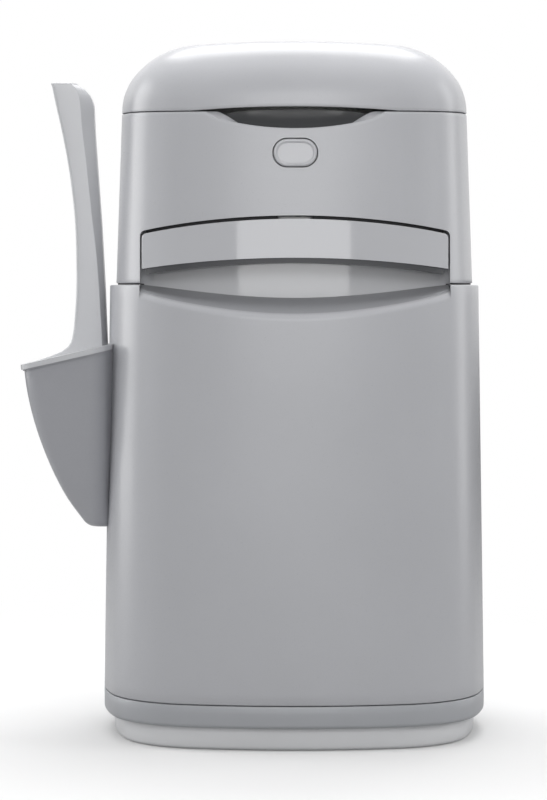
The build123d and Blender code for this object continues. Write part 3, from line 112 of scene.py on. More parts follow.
@dataclass(frozen=True)
class MouldedPlastic:
    """Injection-moulded thermoplastic: one body colour, a fine tool texture and a soft Fresnel gloss.

    Attributes:
        name: the plastic and its surface.
        colour: sRGB hex of the body.
        roughness: middle roughness of the surface.
        grain_mm: size of the tool's texture.
        relief_mm: height of the tool's texture.
        mottle: share by which the colour drifts over a hand's width.
        ior: index of refraction.
    """

    name: str
    colour: str
    roughness: float
    grain_mm: float = 0.7
    relief_mm: float = 0.012
    mottle: float = 0.02
    ior: float = 1.5

    def material(self) -> bpy.types.Material:
        """Builds the node material."""
        material = blank_material(self.name)
        tree = material.node_tree
        place = object_coordinates(tree)
        drift = add_node(tree, "ShaderNodeTexNoise", {"Vector": place, "Scale": 1 / (80 * MM), "Detail": 3.0})
        shade = add_node(
            tree,
            "ShaderNodeMapRange",
            {"Value": drift.outputs["Fac"], "From Min": 0.3, "From Max": 0.7, "To Min": 1 - self.mottle, "To Max": 1 + self.mottle},
        )
        tinted = add_node(
            tree,
            "ShaderNodeVectorMath",
            {0: linear(self.colour)[:3], "Scale": shade.outputs["Result"]},
            operation="SCALE",
        )
        grain = add_node(
            tree, "ShaderNodeTexNoise", {"Vector": place, "Scale": 1 / (self.grain_mm * MM), "Detail": 2.0, "Roughness": 0.6}
        )
        bump = add_node(
            tree, "ShaderNodeBump", {"Height": grain.outputs["Fac"], "Strength": 1.0, "Distance": self.relief_mm * MM}
        )
        rough = add_node(
            tree,
            "ShaderNodeMapRange",
            {
                "Value": grain.outputs["Fac"],
                "From Min": 0.3,
                "From Max": 0.7,
                "To Min": self.roughness - 0.03,
                "To Max": self.roughness + 0.03,
            },
        )
        shader = add_node(
            tree,
            "ShaderNodeBsdfPrincipled",
            {
                "Base Color": tinted.outputs["Vector"],
                "Roughness": rough.outputs["Result"],
                "Normal": bump.outputs["Normal"],
                "IOR": self.ior,
            },
        )
        add_node(tree, "ShaderNodeOutputMaterial", {"Surface": shader.outputs["BSDF"]})
        return material


@dataclass(frozen=True)
class PlatedSteel:
    """Steel wire or sheet with a bright zinc skin, drawn or rolled along one axis.

    Attributes:
        name: the metal and its surface.
        colour: sRGB hex of the metal.
        roughness: middle roughness.
        line_mm: spacing of the drawing lines.
    """

    name: str
    colour: str
    roughness: float
    line_mm: float = 0.5

    def material(self) -> bpy.types.Material:
        """Builds the node material."""
        material = blank_material(self.name)
        tree = material.node_tree
        place = object_coordinates(tree)
        stretched = add_node(
            tree, "ShaderNodeMapping", {"Vector": place, "Scale": (0.05, 1.0, 1.0)}, vector_type="POINT"
        )
        lines = add_node(
            tree,
            "ShaderNodeTexNoise",
            {"Vector": stretched.outputs["Vector"], "Scale": 1 / (self.line_mm * MM), "Detail": 3.0},
        )
        bump = add_node(tree, "ShaderNodeBump", {"Height": lines.outputs["Fac"], "Strength": 1.0, "Distance": 0.01 * MM})
        rough = add_node(
            tree,
            "ShaderNodeMapRange",
            {"Value": lines.outputs["Fac"], "To Min": self.roughness - 0.08, "To Max": self.roughness + 0.08},
        )
        shader = add_node(
            tree,
            "ShaderNodeBsdfPrincipled",
            {
                "Base Color": linear(self.colour),
                "Metallic": 1.0,
                "Roughness": rough.outputs["Result"],
                "Normal": bump.outputs["Normal"],
            },
        )
        add_node(tree, "ShaderNodeOutputMaterial", {"Surface": shader.outputs["BSDF"]})
        return material


@dataclass(frozen=True)
class PleatedFilm:
    """Blown polyethylene film packed in fine pleats round a ring.

    Attributes:
        name: the film.
        colour: sRGB hex.
        pleat_mm: spacing of the pleats.
    """

    name: str
    colour: str
    pleat_mm: float

    def material(self) -> bpy.types.Material:
        """Builds the node material."""
        material = blank_material(self.name)
        tree = material.node_tree
        place = object_coordinates(tree)
        pleats = add_node(
            tree,
            "ShaderNodeTexWave",
            {"Vector": place, "Scale": 1 / (self.pleat_mm * MM) / 20, "Distortion": 3.0, "Detail": 2.0},
            bands_direction="Z",
        )
        bump = add_node(tree, "ShaderNodeBump", {"Height": pleats.outputs["Fac"], "Strength": 0.6, "Distance": 0.4 * MM})
        shader = add_node(
            tree,
            "ShaderNodeBsdfPrincipled",
            {"Base Color": linear(self.colour), "Roughness": 0.35, "Normal": bump.outputs["Normal"]},
        )
        add_node(tree, "ShaderNodeOutputMaterial", {"Surface": shader.outputs["BSDF"]})
        return material


class Finish(Enum):
    """Every finish on the pail."""

    # ABS, spark-eroded tool: a fine satin that spreads highlights into soft gradients
    SATIN_ABS = MouldedPlastic("ABS_moulded_satin_grey", "b0b1b5", 0.3)
    # ABS with a coarse spark-eroded grip grain, coloured a darker grey as painted shade: the finger floor lies under
    # the handle's overhang
    GRAIN_AND_PAINTED_SHADE_ABS = MouldedPlastic("ABS_moulded_grip_grain_grey_painted_shade", "9a9b9f", 0.45, 1.0, 0.03)
    # ABS, polished tool: the same grey, but it mirrors the lamps softly
    GLOSS_ABS = MouldedPlastic("ABS_moulded_polished_grey", "b4b5b9", 0.07, 1.5, 0.0012, 0.008)
    # polypropylene tray, a shade darker and waxier than the walls
    TRAY_PP = MouldedPlastic("PP_moulded_tray_grey", "a2a4a8", 0.4)
    # polypropylene plinth, lighter than the tray
    PLINTH_PP = MouldedPlastic("PP_moulded_plinth_grey", "dadbdd", 0.38)
    # polypropylene holder, mid grey
    HOLDER_PP = MouldedPlastic("PP_moulded_holder_grey", "9b9ca1", 0.3)
    # scoop in the light wall grey
    SCOOP_PP = MouldedPlastic("PP_moulded_scoop_grey", "c2c3c6", 0.3)
    # glass-filled polyamide slide: dark grey and matt
    CARRIAGE_PA = MouldedPlastic("PA_glass_filled_dark_grey", "3c3d40", 0.5, 0.9, 0.02)
    # ABS, polished, coloured dark grey as painted shade for the dish that lies deep under the lid's edge: it mirrors
    # the lamps as one soft oval
    DISH_PAINTED_SHADE_ABS = MouldedPlastic("ABS_moulded_polished_grey_painted_shade", "5a5b5d", 0.16, 1.5, 0.002, 0.01)
    # ABS, polished, coloured a shade paler than the handle as painted light: the recess stays light although the handle
    # shades it
    RECESS_PAINTED_LIGHT_ABS = MouldedPlastic("ABS_moulded_polished_grey_painted_light", "c4c5c8", 0.07, 1.5, 0.0012, 0.008)
    # inner parts in natural white ABS
    INNER_ABS = MouldedPlastic("ABS_moulded_white", "dcdcda", 0.4)
    # refill cassette in white polypropylene
    CASSETTE_PP = MouldedPlastic("PP_moulded_white", "e6e6e4", 0.35)
    # EPDM seal: black, matt, slightly chalky
    SEAL_EPDM = MouldedPlastic("EPDM_extruded_black", "222224", 0.7, 0.5, 0.03, 0.05)
    # zinc-plated steel pins and screws
    ZINC_STEEL = PlatedSteel("steel_zinc_plated", "c6c6c8", 0.32)
    # hard-drawn spring wire
    SPRING_STEEL = PlatedSteel("spring_steel_drawn", "b2b2b4", 0.26, 0.3)
    # stainless strip blade
    BLADE_STEEL = PlatedSteel("stainless_strip_ground", "cfd0d2", 0.22, 0.25)
    # bag film, cloudy white
    BAG_FILM = PleatedFilm("PE_blown_film_pleated", "eceef2", 1.2)


MATERIALS: dict[Finish, bpy.types.Material] = {}


def material_of(finish: Finish) -> bpy.types.Material:
    """Gives the finish's material, made on first use."""
    if finish not in MATERIALS:
        MATERIALS[finish] = finish.value.material()
    return MATERIALS[finish]


# ---------------------------------------------------------------- outline shared by every shell


@dataclass(frozen=True)
class Station:
    """One place round the plan: it moves along its arc's radius as the inset grows.

    Attributes:
        centre_x: arc centre, mm.
        centre_y: arc centre, mm.
        radius: arc radius with no inset, mm.
        angle: direction from the centre, radians.
    """

    centre_x: float
    centre_y: float
    radius: float
    angle: float

    def at(self, inset: float) -> tuple[float, float]:
        """Gives x and y in mm, inside the widest outline by the inset."""
        reach = self.radius - inset
        return (self.centre_x + reach * math.cos(self.angle), self.centre_y + reach * math.sin(self.angle))


@dataclass(frozen=True)
class PailForm:
    """Driving sizes of the outer form, in mm."""

    half_width: float = 120.5
    half_depth: float = 107.5
    front_radius: float = 282.0
    side_radius: float = 205.0
    corner_radius: float = 64.0
    height: float = 432.0
    wall: float = 2.6
    shell_bottom: float = 28.2
    rim_top: float = 281.1
    head_bottom: float = 281.8
    pail_draft: float = 0.927
    head_step: float = 8.0
    head_draft: float = 2.05
    seam_front: float = 385.5
    seam_tilt: float = 1.9
    seam_gap: float = 0.5
    lid_round: float = 34.0
    dome_radius: float = 860.0
    mouth_half: float = 94.5

    def corner(self) -> tuple[float, float]:
        """Gives the centre of the rear right corner arc, tangent inside the front and side arcs."""
        front = Vector((0.0, self.half_depth - self.front_radius))
        side = Vector((self.half_width - self.side_radius, 0.0))
        to_front = self.front_radius - self.corner_radius
        to_side = self.side_radius - self.corner_radius
        apart = (side - front).length
        along = (to_front**2 - to_side**2 + apart**2) / (2 * apart)
        across = math.sqrt(to_front**2 - along**2)
        unit = (side - front).normalized()
        centre = front + unit * along + Vector((unit.y, -unit.x)) * across
        return (centre.x, centre.y)

    def stations(self, count: int) -> list[Station]:
        """Spreads stations evenly round the plan.

        Args:
            count: how many.

        Returns:
            The stations in order, anticlockwise seen from above.
        """
        cx, cy = self.corner()
        front_y = self.half_depth - self.front_radius
        side_x = self.half_width - self.side_radius
        to_front = math.atan2(cy - front_y, cx)
        to_side = math.atan2(cy, cx - side_x)
        arcs = []
        for quarter, (mirror_x, mirror_y) in enumerate(((1, 1), (-1, 1), (-1, -1), (1, -1))):
            run = [
                (side_x * mirror_x, 0.0, self.side_radius, 0.0, to_side),
                (cx * mirror_x, cy * mirror_y, self.corner_radius, to_side, to_front),
                (0.0, front_y * mirror_y, self.front_radius, to_front, math.pi / 2),
            ]
            if quarter % 2:
                run.reverse()
            for centre_x, centre_y, radius, low, high in run:
                ends = [math.atan2(math.sin(a) * mirror_y, math.cos(a) * mirror_x) for a in (low, high)]
                if quarter % 2:
                    ends.reverse()
                sweep = (ends[1] - ends[0]) % (2 * math.pi)
                arcs.append((centre_x, centre_y, radius, ends[0], sweep))
        total = sum(radius * sweep for _, _, radius, _, sweep in arcs)
        found = []
        for number in range(count):
            left = total * number / count
            for centre_x, centre_y, radius, start, sweep in arcs:
                if left <= radius * sweep:
                    found.append(Station(centre_x, centre_y, radius, start + left / radius))
                    break
                left -= radius * sweep
        return found

    def front_y(self, x: float, inset: float) -> float:
        """Gives y of the front of the plan at x, inside the widest outline by the inset."""
        cx, cy = self.corner()
        turn = cx / (self.front_radius - self.corner_radius)
        if abs(x) <= turn * (self.front_radius - inset):
            return self.front_radius - self.half_depth - math.sqrt((self.front_radius - inset) ** 2 - x**2)
        return -cy - math.sqrt(max((self.corner_radius - inset) ** 2 - (abs(x) - cx) ** 2, 0.0))

    def pail_inset(self, z: float) -> float:
        """Gives the inset of the pail's outer surface at a level."""
        return (z - self.shell_bottom) * math.tan(math.radians(self.pail_draft))

    def head_inset(self, z: float) -> float:
        """Gives the inset of the head's outer surface at a level, before the crown rounds in."""
        return self.head_step + (z - self.head_bottom) * math.tan(math.radians(self.head_draft))

    def dome(self, x: float, y: float) -> float:
        """Gives the level of the lid's dome over a point of the plan."""
        return self.height - self.dome_radius + math.sqrt(self.dome_radius**2 - x**2 - y**2)

    def seam(self, y: float) -> float:
        """Gives the level of the lid's parting plane, which rises to the rear."""
        pivot_y = self.head_step - self.half_depth + 3.7
        return self.seam_front + (y - pivot_y) * math.tan(math.radians(self.seam_tilt))

    def hood_point(self, station: Station, z: float, inset: float) -> Vector:
        """Gives a point of the head or lid skin at a level.

        Args:
            station: where round the plan.
            z: level, mm.
            inset: how far inside the outer skin, mm.

        Returns:
            The point in mm.
        """
        straight = self.head_inset(z) + inset
        x, y = station.at(straight)
        below = self.dome(x, y) - inset - z
        bend = self.lid_round - inset
        if below < bend:
            straight += bend - math.sqrt(max(bend**2 - (bend - max(below, 0.0)) ** 2, 0.0))
            x, y = station.at(straight)
        return Vector((x, y, z))


FORM = PailForm()
ROUND = FORM.stations(360)


# ---------------------------------------------------------------- mesh helpers


class RingSkin:
    """A skin grown ring by ring from a circle of vertices laid on the plan's stations."""

    def __init__(self, stations: Sequence[Station], place: Place) -> None:
        """Starts the skin.

        Args:
            stations: the places round the ring.
            place: gives the point of each station, in mm.
        """
        self.bm = bmesh.new()
        self.stations = stations
        self.layer = self.bm.verts.layers.int.new("station")
        made = bmesh.ops.create_circle(self.bm, segments=len(stations), radius=MM)
        for number, vert in enumerate(made["verts"]):
            vert[self.layer] = number
        self.edges = list(self.bm.edges)
        self.lay(made["verts"], place)

    def lay(self, verts: Iterable[bmesh.types.BMVert], place: Place) -> None:
        """Puts vertices where their stations say."""
        for vert in verts:
            vert.co = place(self.stations[vert[self.layer]]) * MM

    def grow(self, place: Place, start: list[bmesh.types.BMEdge] | None = None) -> list[bmesh.types.BMEdge]:
        """Extrudes the last ring, or a given one, to a new ring.

        Args:
            place: gives the new point of each station, in mm.
            start: ring of edges to grow from, the last one if left out.

        Returns:
            The new ring's edges.
        """
        made = bmesh.ops.extrude_edge_only(self.bm, edges=start or self.edges)["geom"]
        verts = [item for item in made if isinstance(item, bmesh.types.BMVert)]
        fresh = set(verts)
        self.edges = [
            item for item in made if isinstance(item, bmesh.types.BMEdge) and all(vert in fresh for vert in item.verts)
        ]
        self.lay(verts, place)
        return self.edges

    def pole(self, z: float) -> None:
        """Closes the last ring to one point on the axis at a level in mm."""
        verts = list({vert for edge in self.edges for vert in edge.verts})
        bmesh.ops.contextual_create(self.bm, geom=self.edges)
        face = next(face for face in verts[0].link_faces if len(face.verts) == len(verts))
        bmesh.ops.poke(self.bm, faces=[face])
        centre = min(self.bm.verts, key=lambda vert: vert.co.xy.length + abs(vert.co.z - z * MM))
        centre.co = Vector((0.0, 0.0, z * MM))

    def join(self, ring: list[bmesh.types.BMEdge]) -> None:
        """Bridges the last ring to another one, which closes the skin."""
        bmesh.ops.bridge_loops(self.bm, edges=self.edges + ring)


def finish_mesh(bm: bmesh.types.BMesh, name: str, weld_mm: float = 0.001) -> bpy.types.Object:
    """Turns a bmesh into a scene object with outward normals.

    Args:
        bm: the mesh, which is freed.
        name: the object's name.
        weld_mm: distance under which vertices are merged.

    Returns:
        The linked object at the origin.
    """
    bmesh.ops.remove_doubles(bm, verts=bm.verts, dist=weld_mm * MM)
    bmesh.ops.recalc_face_normals(bm, faces=bm.faces)
    mesh = bpy.data.meshes.new(name)
    bm.to_mesh(mesh)
    bm.free()
    thing = bpy.data.objects.new(name, mesh)
    bpy.context.scene.collection.objects.link(thing)
    return thing


class Cut(Enum):
    """What a boolean does with its tool."""

    AWAY = "DIFFERENCE"
    KEEP = "INTERSECT"
    JOIN = "UNION"


def carve(thing: bpy.types.Object, tool: bmesh.types.BMesh, how: Cut = Cut.AWAY) -> None:
    """Applies a boolean to an object with a closed tool mesh, and drops the tool.

    Args:
        thing: the object that is changed.
        tool: the tool's mesh, in the same frame, which is freed.
        how: what the tool does.
    """
    cutter = finish_mesh(tool, "cutter")
    step = thing.modifiers.new("carve", "BOOLEAN")
    step.operation = how.value
    step.solver = "EXACT"
    step.object = cutter
    depsgraph = bpy.context.evaluated_depsgraph_get()
    carved = bpy.data.meshes.new_from_object(thing.evaluated_get(depsgraph))
    thing.modifiers.remove(step)
    old = thing.data
    thing.data = carved
    name = old.name
    bpy.data.meshes.remove(old)
    carved.name = name
    spare = cutter.data
    bpy.data.objects.remove(cutter)
    bpy.data.meshes.remove(spare)


def dress(
    thing: bpy.types.Object, body: str, finish: Finish, nodes: Sequence[str] = (), crease: float = 32.0
) -> None:
    """Smooths a piece, gives it its finish and ties it to the frame.

    Args:
        thing: the piece.
        body: the frame's body that carries it.
        finish: what it is made of.
        nodes: frame nodes it stands for.
        crease: angle in degrees above which an edge stays sharp.
    """
    thing.data.materials.clear()
    thing.data.materials.append(material_of(finish))
    thing.data.shade_smooth()
    thing.data.set_sharp_from_angle(angle=math.radians(crease))
    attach(thing, body)
    if nodes:
        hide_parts(*nodes)
    log.info("%s: %d faces", thing.name, len(thing.data.polygons))


def prism(outline: Sequence[tuple[float, float]], near_y: float, far_y: float) -> bmesh.types.BMesh:
    """Extrudes a front-view outline from front to back.

    Args:
        outline: x and z of the corners in mm, in order.
        near_y: front end, mm.
        far_y: rear end, mm.

    Returns:
        The closed mesh.
    """
    bm = bmesh.new()
    verts = [bm.verts.new((x * MM, near_y * MM, z * MM)) for x, z in outline]
    face = bm.faces.new(verts)
    made = bmesh.ops.extrude_face_region(bm, geom=[face])["geom"]
    moved = [item for item in made if isinstance(item, bmesh.types.BMVert)]
    bmesh.ops.translate(bm, verts=moved, vec=(0, (far_y - near_y) * MM, 0))
    return bm


def arc_level(x: float, half: float, middle: float, end: float) -> float:
    """Gives the level of a circular arc through (-half, end), (0, middle) and (half, end)."""
    rise = end - middle
    if abs(rise) < 1e-6:
        return middle
    radius = (half**2 + rise**2) / (2 * abs(rise))
    return middle + math.copysign(radius - math.sqrt(radius**2 - x**2), rise)


# ---------------------------------------------------------------- base


@dataclass
class Base:
    """Plinth and drip tray under the pail."""

    plinth_inset: float = 6.0
    plinth_draft: float = 4.0
    tray_bottom: float = 13.9
    tray_top: float = 27.6
    tray_wall: float = 3.2
    tray_floor: float = 3.1
    round_over: float = 2.5
    spigot_top: float = 35.0

    def build(self) -> None:
        """Builds both mouldings."""
        self.build_plinth()
        self.build_tray()

    def build_plinth(self) -> None:
        """Builds the plinth: drafted wall that narrows to the floor, rounded foot, thin floor."""

        def wall(inset: float, z: float) -> Place:
            taper = (self.tray_bottom - z) * math.tan(math.radians(self.plinth_draft))
            return lambda s: Vector((*s.at(self.plinth_inset + taper + inset), z))

        top = self.tray_bottom
        skin = RingSkin(ROUND, wall(self.tray_wall + 1, self.tray_floor))
        floor = skin.edges
        for inset, z in ((self.tray_wall + 1, top - 0.2), (self.tray_wall + 0.8, top), (0.4, top), (0.0, top - 0.4)):
            skin.grow(wall(inset, z))
        for step in range(1, 4):
            skin.grow(wall(0.0, top - 0.4 - step * (top - 0.4 - self.round_over) / 3))
        for step in range(1, 7):
            turn = math.radians(15 * step)
            drop = self.round_over * (1 - math.sin(turn))
            skin.grow(wall(self.round_over * (1 - math.cos(turn)), drop))
        skin.pole(0.0)
        skin.edges = floor
        skin.pole(self.tray_floor)
        dress(finish_mesh(skin.bm, "plinth_moulding"), "pail", Finish.PLINTH_PP, ["base_plinth"])

    def build_tray(self) -> None:
        """Builds the tray: a band flush with the pail, a spigot ring inside it and a floor."""

        def wall(inset: float, z: float) -> Place:
            return lambda s: Vector((*s.at(inset), z))

        inner_floor = self.tray_bottom + self.tray_floor
        skin = RingSkin(ROUND, wall(2 * self.tray_wall, inner_floor))
        floor = skin.edges
        profile = [
            (2 * self.tray_wall, self.spigot_top - 0.5),
            (2 * self.tray_wall - 0.5, self.spigot_top),
            (self.tray_wall + 0.5, self.spigot_top),
            (self.tray_wall, self.spigot_top - 0.5),
            (self.tray_wall, self.tray_top),
            (0.5, self.tray_top),
            (0.15, self.tray_top - 0.15),
            (0.0, self.tray_top - 0.5),
            (0.0, self.tray_top - 5.0),
            (0.0, self.tray_bottom + self.round_over),
        ]
        for step in range(1, 7):
            turn = math.radians(15 * step)
            profile.append(
                (self.round_over * (1 - math.cos(turn)), self.tray_bottom + self.round_over * (1 - math.sin(turn)))
            )
        for inset, z in profile:
            skin.grow(wall(inset, z))
        skin.pole(self.tray_bottom)
        skin.edges = floor
        skin.pole(inner_floor)
        dress(finish_mesh(skin.bm, "tray_moulding"), "pail", Finish.TRAY_PP, ["base_tray"])


# ---------------------------------------------------------------- pail


@dataclass
class Pail:
    """Tall pail wall with its rim, and the finger floor rolled over its front edge."""

    floor_level: float = 38.0
    rim_flange: float = 9.0
    rim_thick: float = 3.0
    rim_round: float = 1.0
    floor_front_y: float = -112.0
    floor_rear_y: float = -50.0
    front_middle: float = 259.2
    front_end: float = 269.5
    rear_middle: float = 284.75
    rear_end: float = 283.9
    floor_thick: float = 2.6
    lip_radius: float = 5.0
    roll_steps: int = 10
    cheek_thick: float = 2.6
    recess_middle_y: float = -77.5
    recess_end_y: float = -60.5
    hook_y: float = 18.0
    hook_z: float = 205.0
    lug_x: float = 30.0
    lug_half: float = 7.0
    hinge_y: float = 103.0
    hinge_z: float = 286.5
    knuckle_radius: float = 4.8

    def build(self) -> None:
        """Builds the wall, cuts the finger opening and lays the floor into it."""
        wall = self.build_wall()
        dress(wall, "pail", Finish.SATIN_ABS, ["pail_shell"])
        dress(self.build_floor(0, self.roll_steps, "floor_roll"), "pail", Finish.SATIN_ABS)
        # the finger floor's darker grey is painted shade under the handle; its coarse grain is real texture
        dress(self.build_floor(self.roll_steps, 22, "finger_floor"), "pail", Finish.GRAIN_AND_PAINTED_SHADE_ABS)
        for side, name in ((-1, "left_cheek"), (1, "right_cheek")):
            dress(self.build_cheek(side, name), "pail", Finish.SATIN_ABS)

    def build_cheek(self, side: int, name: str) -> bpy.types.Object:
        """Builds the upright plate that closes one end of the finger floor.

        Args:
            side: -1 for the left end, 1 for the right.
            name: the piece's name.

        Returns:
            The plate.
        """
        front = FORM.front_y(FORM.mouth_half + self.cheek_thick, FORM.pail_inset(FORM.rim_top)) + 0.8
        rear = self.recess_end_y + 4.0
        low = self.front_end - 12.0
        bm = bmesh.new()
        bmesh.ops.create_cube(bm, size=1.0)
        bmesh.ops.scale(bm, verts=bm.verts, vec=(self.cheek_thick * MM, (rear - front) * MM, (FORM.rim_top - low) * MM))
        x = side * (FORM.mouth_half + self.cheek_thick / 2)
        place = (x * MM, (front + rear) / 2 * MM, (FORM.rim_top + low) / 2 * MM)
        bmesh.ops.translate(bm, verts=bm.verts, vec=place)
        bmesh.ops.bevel(
            bm, geom=list(bm.edges), offset=0.3 * MM, segments=2, profile=0.5, affect="EDGES", material=-1
        )
        return finish_mesh(bm, name)

    def floor_height(self, x: float, y: float) -> float:
        """Gives the level of the finger floor over a point of the plan."""
        front = arc_level(x, FORM.mouth_half, self.front_middle, self.front_end)
        rear = arc_level(x, FORM.mouth_half, self.rear_middle, self.rear_end)
        along = (y - self.floor_front_y) / (self.floor_rear_y - self.floor_front_y)
        return front + (rear - front) * along

    def recess_y(self, x: float, back: float = 0.0) -> float:
        """Gives y of the recess wall's front face at x, moved back by a distance."""
        rise = self.recess_end_y - self.recess_middle_y
        radius = (FORM.mouth_half**2 + rise**2) / (2 * rise)
        return self.recess_middle_y + radius - math.sqrt((radius - back) ** 2 - x**2)

    def lip_section(self, x: float) -> tuple[Vector, Vector, float, float]:
        """Finds where the floor rolls into the wall at x.

        Args:
            x: place across the front, mm.

        Returns:
            The wall point at the sharp corner, the inward direction, the floor's pitch in radians and the tangent
            length of the roll.
        """
        level = self.front_middle
        for _ in range(4):
            y = FORM.front_y(x, FORM.pail_inset(level))
            level = self.floor_height(x, y)
        step = 0.5
        side = FORM.front_y(x + step, FORM.pail_inset(level)) - FORM.front_y(x - step, FORM.pail_inset(level))
        inward = Vector((-side, 2 * step, 0.0)).normalized()
        rise = self.floor_height(x + inward.x * step, y + inward.y * step) - level
        pitch = math.atan2(rise, step)
        return Vector((x, y, level)), inward, pitch, self.lip_radius * math.tan((math.pi / 2 - pitch) / 2)

    def build_wall(self) -> bpy.types.Object:
        """Builds the wall, its rim and floor as one closed skin, and cuts the finger opening."""

        def wall(inset: float, z: float) -> Place:
            return lambda s: Vector((*s.at(FORM.pail_inset(z) + inset), z))

        bottom, top = FORM.shell_bottom, FORM.rim_top
        skin = RingSkin(ROUND, wall(0.6, bottom))
        foot = skin.edges
        skin.grow(wall(0.18, bottom + 0.18))
        skin.grow(wall(0.0, bottom + 0.6))
        for step in range(1, 41):
            skin.grow(wall(0.0, bottom + 0.6 + (top - self.rim_round - bottom - 0.6) * step / 40))
        for step in range(1, 5):
            turn = math.radians(22.5 * step)
            skin.grow(wall(self.rim_round * (1 - math.cos(turn)), top - self.rim_round * (1 - math.sin(turn))))
        flange = self.rim_flange + FORM.wall
        for inset, z in (
            (flange - 0.6, top),
            (flange, top - 0.6),
            (flange, top - self.rim_thick),
            (FORM.wall + 1.0, top - self.rim_thick),
            (FORM.wall, top - self.rim_thick - 1.0),
        ):
            skin.grow(wall(inset, z))
        for step in range(1, 13):
            skin.grow(wall(FORM.wall, top - self.rim_thick - 1 - (top - self.floor_level - 14) * step / 12))
        skin.grow(wall(FORM.wall + 2.0, self.floor_level + FORM.wall + 2.0))
        skin.grow(wall(FORM.wall + 8.0, self.floor_level + FORM.wall))
        skin.pole(self.floor_level + FORM.wall)
        skin.edges = foot
        skin.grow(wall(FORM.wall, bottom))
        skin.grow(wall(FORM.wall, self.floor_level))
        skin.pole(self.floor_level)
        shell = finish_mesh(skin.bm, "pail_wall")
        columns = [-FORM.mouth_half + 2 * FORM.mouth_half * step / 96 for step in range(97)]
        edge = []
        for x in columns:
            corner, _, _, tangent = self.lip_section(x)
            edge.append((x, corner.z - tangent))
        carve(shell, prism([*edge, (FORM.mouth_half, 300.0), (-FORM.mouth_half, 300.0)], -125.0, -52.0))
        for side in (-1, 1):
            y = side * self.hook_y
            slot = bmesh.new()
            bmesh.ops.create_cube(slot, size=1.0)
            bmesh.ops.scale(slot, verts=slot.verts, vec=(20 * MM, 13 * MM, 9 * MM))
            bmesh.ops.translate(slot, verts=slot.verts, vec=(-115 * MM, y * MM, self.hook_z * MM))
            carve(shell, slot)
        for side in (-1, 1):
            lug = knuckle(side * self.lug_x, self.lug_half, self.hinge_y, self.hinge_z, self.knuckle_radius, 262.0, 20.0)
            bore = rod(side * self.lug_x, 2 * self.lug_half, self.hinge_y, self.hinge_z, 2.55)
            carve(shell, lug, Cut.JOIN)
            carve(shell, bore)
        return shell

    def build_floor(self, first: int, last: int, name: str) -> bpy.types.Object:
        """Builds rows of the rolled front lip or of the floor that climbs from it to the recess wall.

        Args:
            first: first row, counted from the foot of the roll.
            last: last row.
            name: the piece's name.

        Returns:
            The piece, thickened downwards.
        """
        columns, roll_steps, floor_steps = 128, self.roll_steps, 12
        bm = bmesh.new()
        bmesh.ops.create_grid(bm, x_segments=columns, y_segments=last - first, size=1.0)
        for vert in bm.verts:
            x = vert.co.x * FORM.mouth_half
            row = first + round((vert.co.y + 1) / 2 * (last - first))
            corner, inward, pitch, tangent = self.lip_section(x)
            radius = self.lip_radius
            turn = (math.pi / 2 - pitch) * min(row, roll_steps) / roll_steps
            reach = radius * (1 - math.cos(turn))
            point = corner + Vector((0, reach / inward.y, radius * math.sin(turn) - tangent))
            if row > roll_steps:
                share = (row - roll_steps) / floor_steps
                rear_y = self.recess_y(point.x, -0.4)
                y = point.y + (rear_y - point.y) * share
                point = Vector((point.x, y, self.floor_height(point.x, y)))
            vert.co = point * MM
        bmesh.ops.recalc_face_normals(bm, faces=bm.faces)
        up = sum((face.normal.z for face in bm.faces)) > 0
        thick = self.floor_thick * MM
        bmesh.ops.solidify(bm, geom=list(bm.faces), thickness=thick if up else -thick)
        return finish_mesh(bm, name)


def rod(x: float, half: float, y: float, z: float, radius: float) -> bmesh.types.BMesh:
    """Makes a closed round bar along X.

    Args:
        x: middle of the bar, mm.
        half: half its length, mm.
        y: axis, mm.
        z: axis, mm.
        radius: mm.

    Returns:
        The closed mesh.
    """
    bm = bmesh.new()
    turn = Matrix.Translation((x * MM, y * MM, z * MM)) @ Matrix.Rotation(math.pi / 2, 4, "Y")
    bmesh.ops.create_cone(
        bm, cap_ends=True, segments=40, radius1=radius * MM, radius2=radius * MM, depth=2 * half * MM, matrix=turn
    )
    return bm


def knuckle(
    x: float, half: float, y: float, z: float, radius: float, root_z: float, root_tall: float
) -> bmesh.types.BMesh:
    """Makes a hinge knuckle: a barrel that tapers into a root inside the rear wall.

    Args:
        x: middle of the knuckle, mm.
        half: half its length, mm.
        y: axis, mm.
        z: axis, mm.
        radius: of the barrel, mm.
        root_z: middle of the root, mm.
        root_tall: height of the root, mm.

    Returns:
        The closed mesh.
    """
    inset = FORM.pail_inset(root_z) if root_z < FORM.rim_top else FORM.head_inset(root_z)
    root_y = -FORM.front_y(abs(x) + half, inset + FORM.wall / 2)
    bm = rod(x, half, y, z, radius)
    bmesh.ops.delete(bm, geom=list(bm.edges), context="EDGES_FACES")
    for end in (-1, 1):
        for low in (-0.5, 0.5):
            for back in (-0.7, 0.7):
                bm.verts.new(((x + end * half) * MM, (root_y + back) * MM, (root_z + low * root_tall) * MM))
    hull = bmesh.ops.convex_hull(bm, input=bm.verts)
    spare = {item for item in hull["geom_interior"] + hull["geom_unused"] if isinstance(item, bmesh.types.BMVert)}
    bmesh.ops.delete(bm, geom=list(spare), context="VERTS")
    return bm


# ---------------------------------------------------------------- head and lid


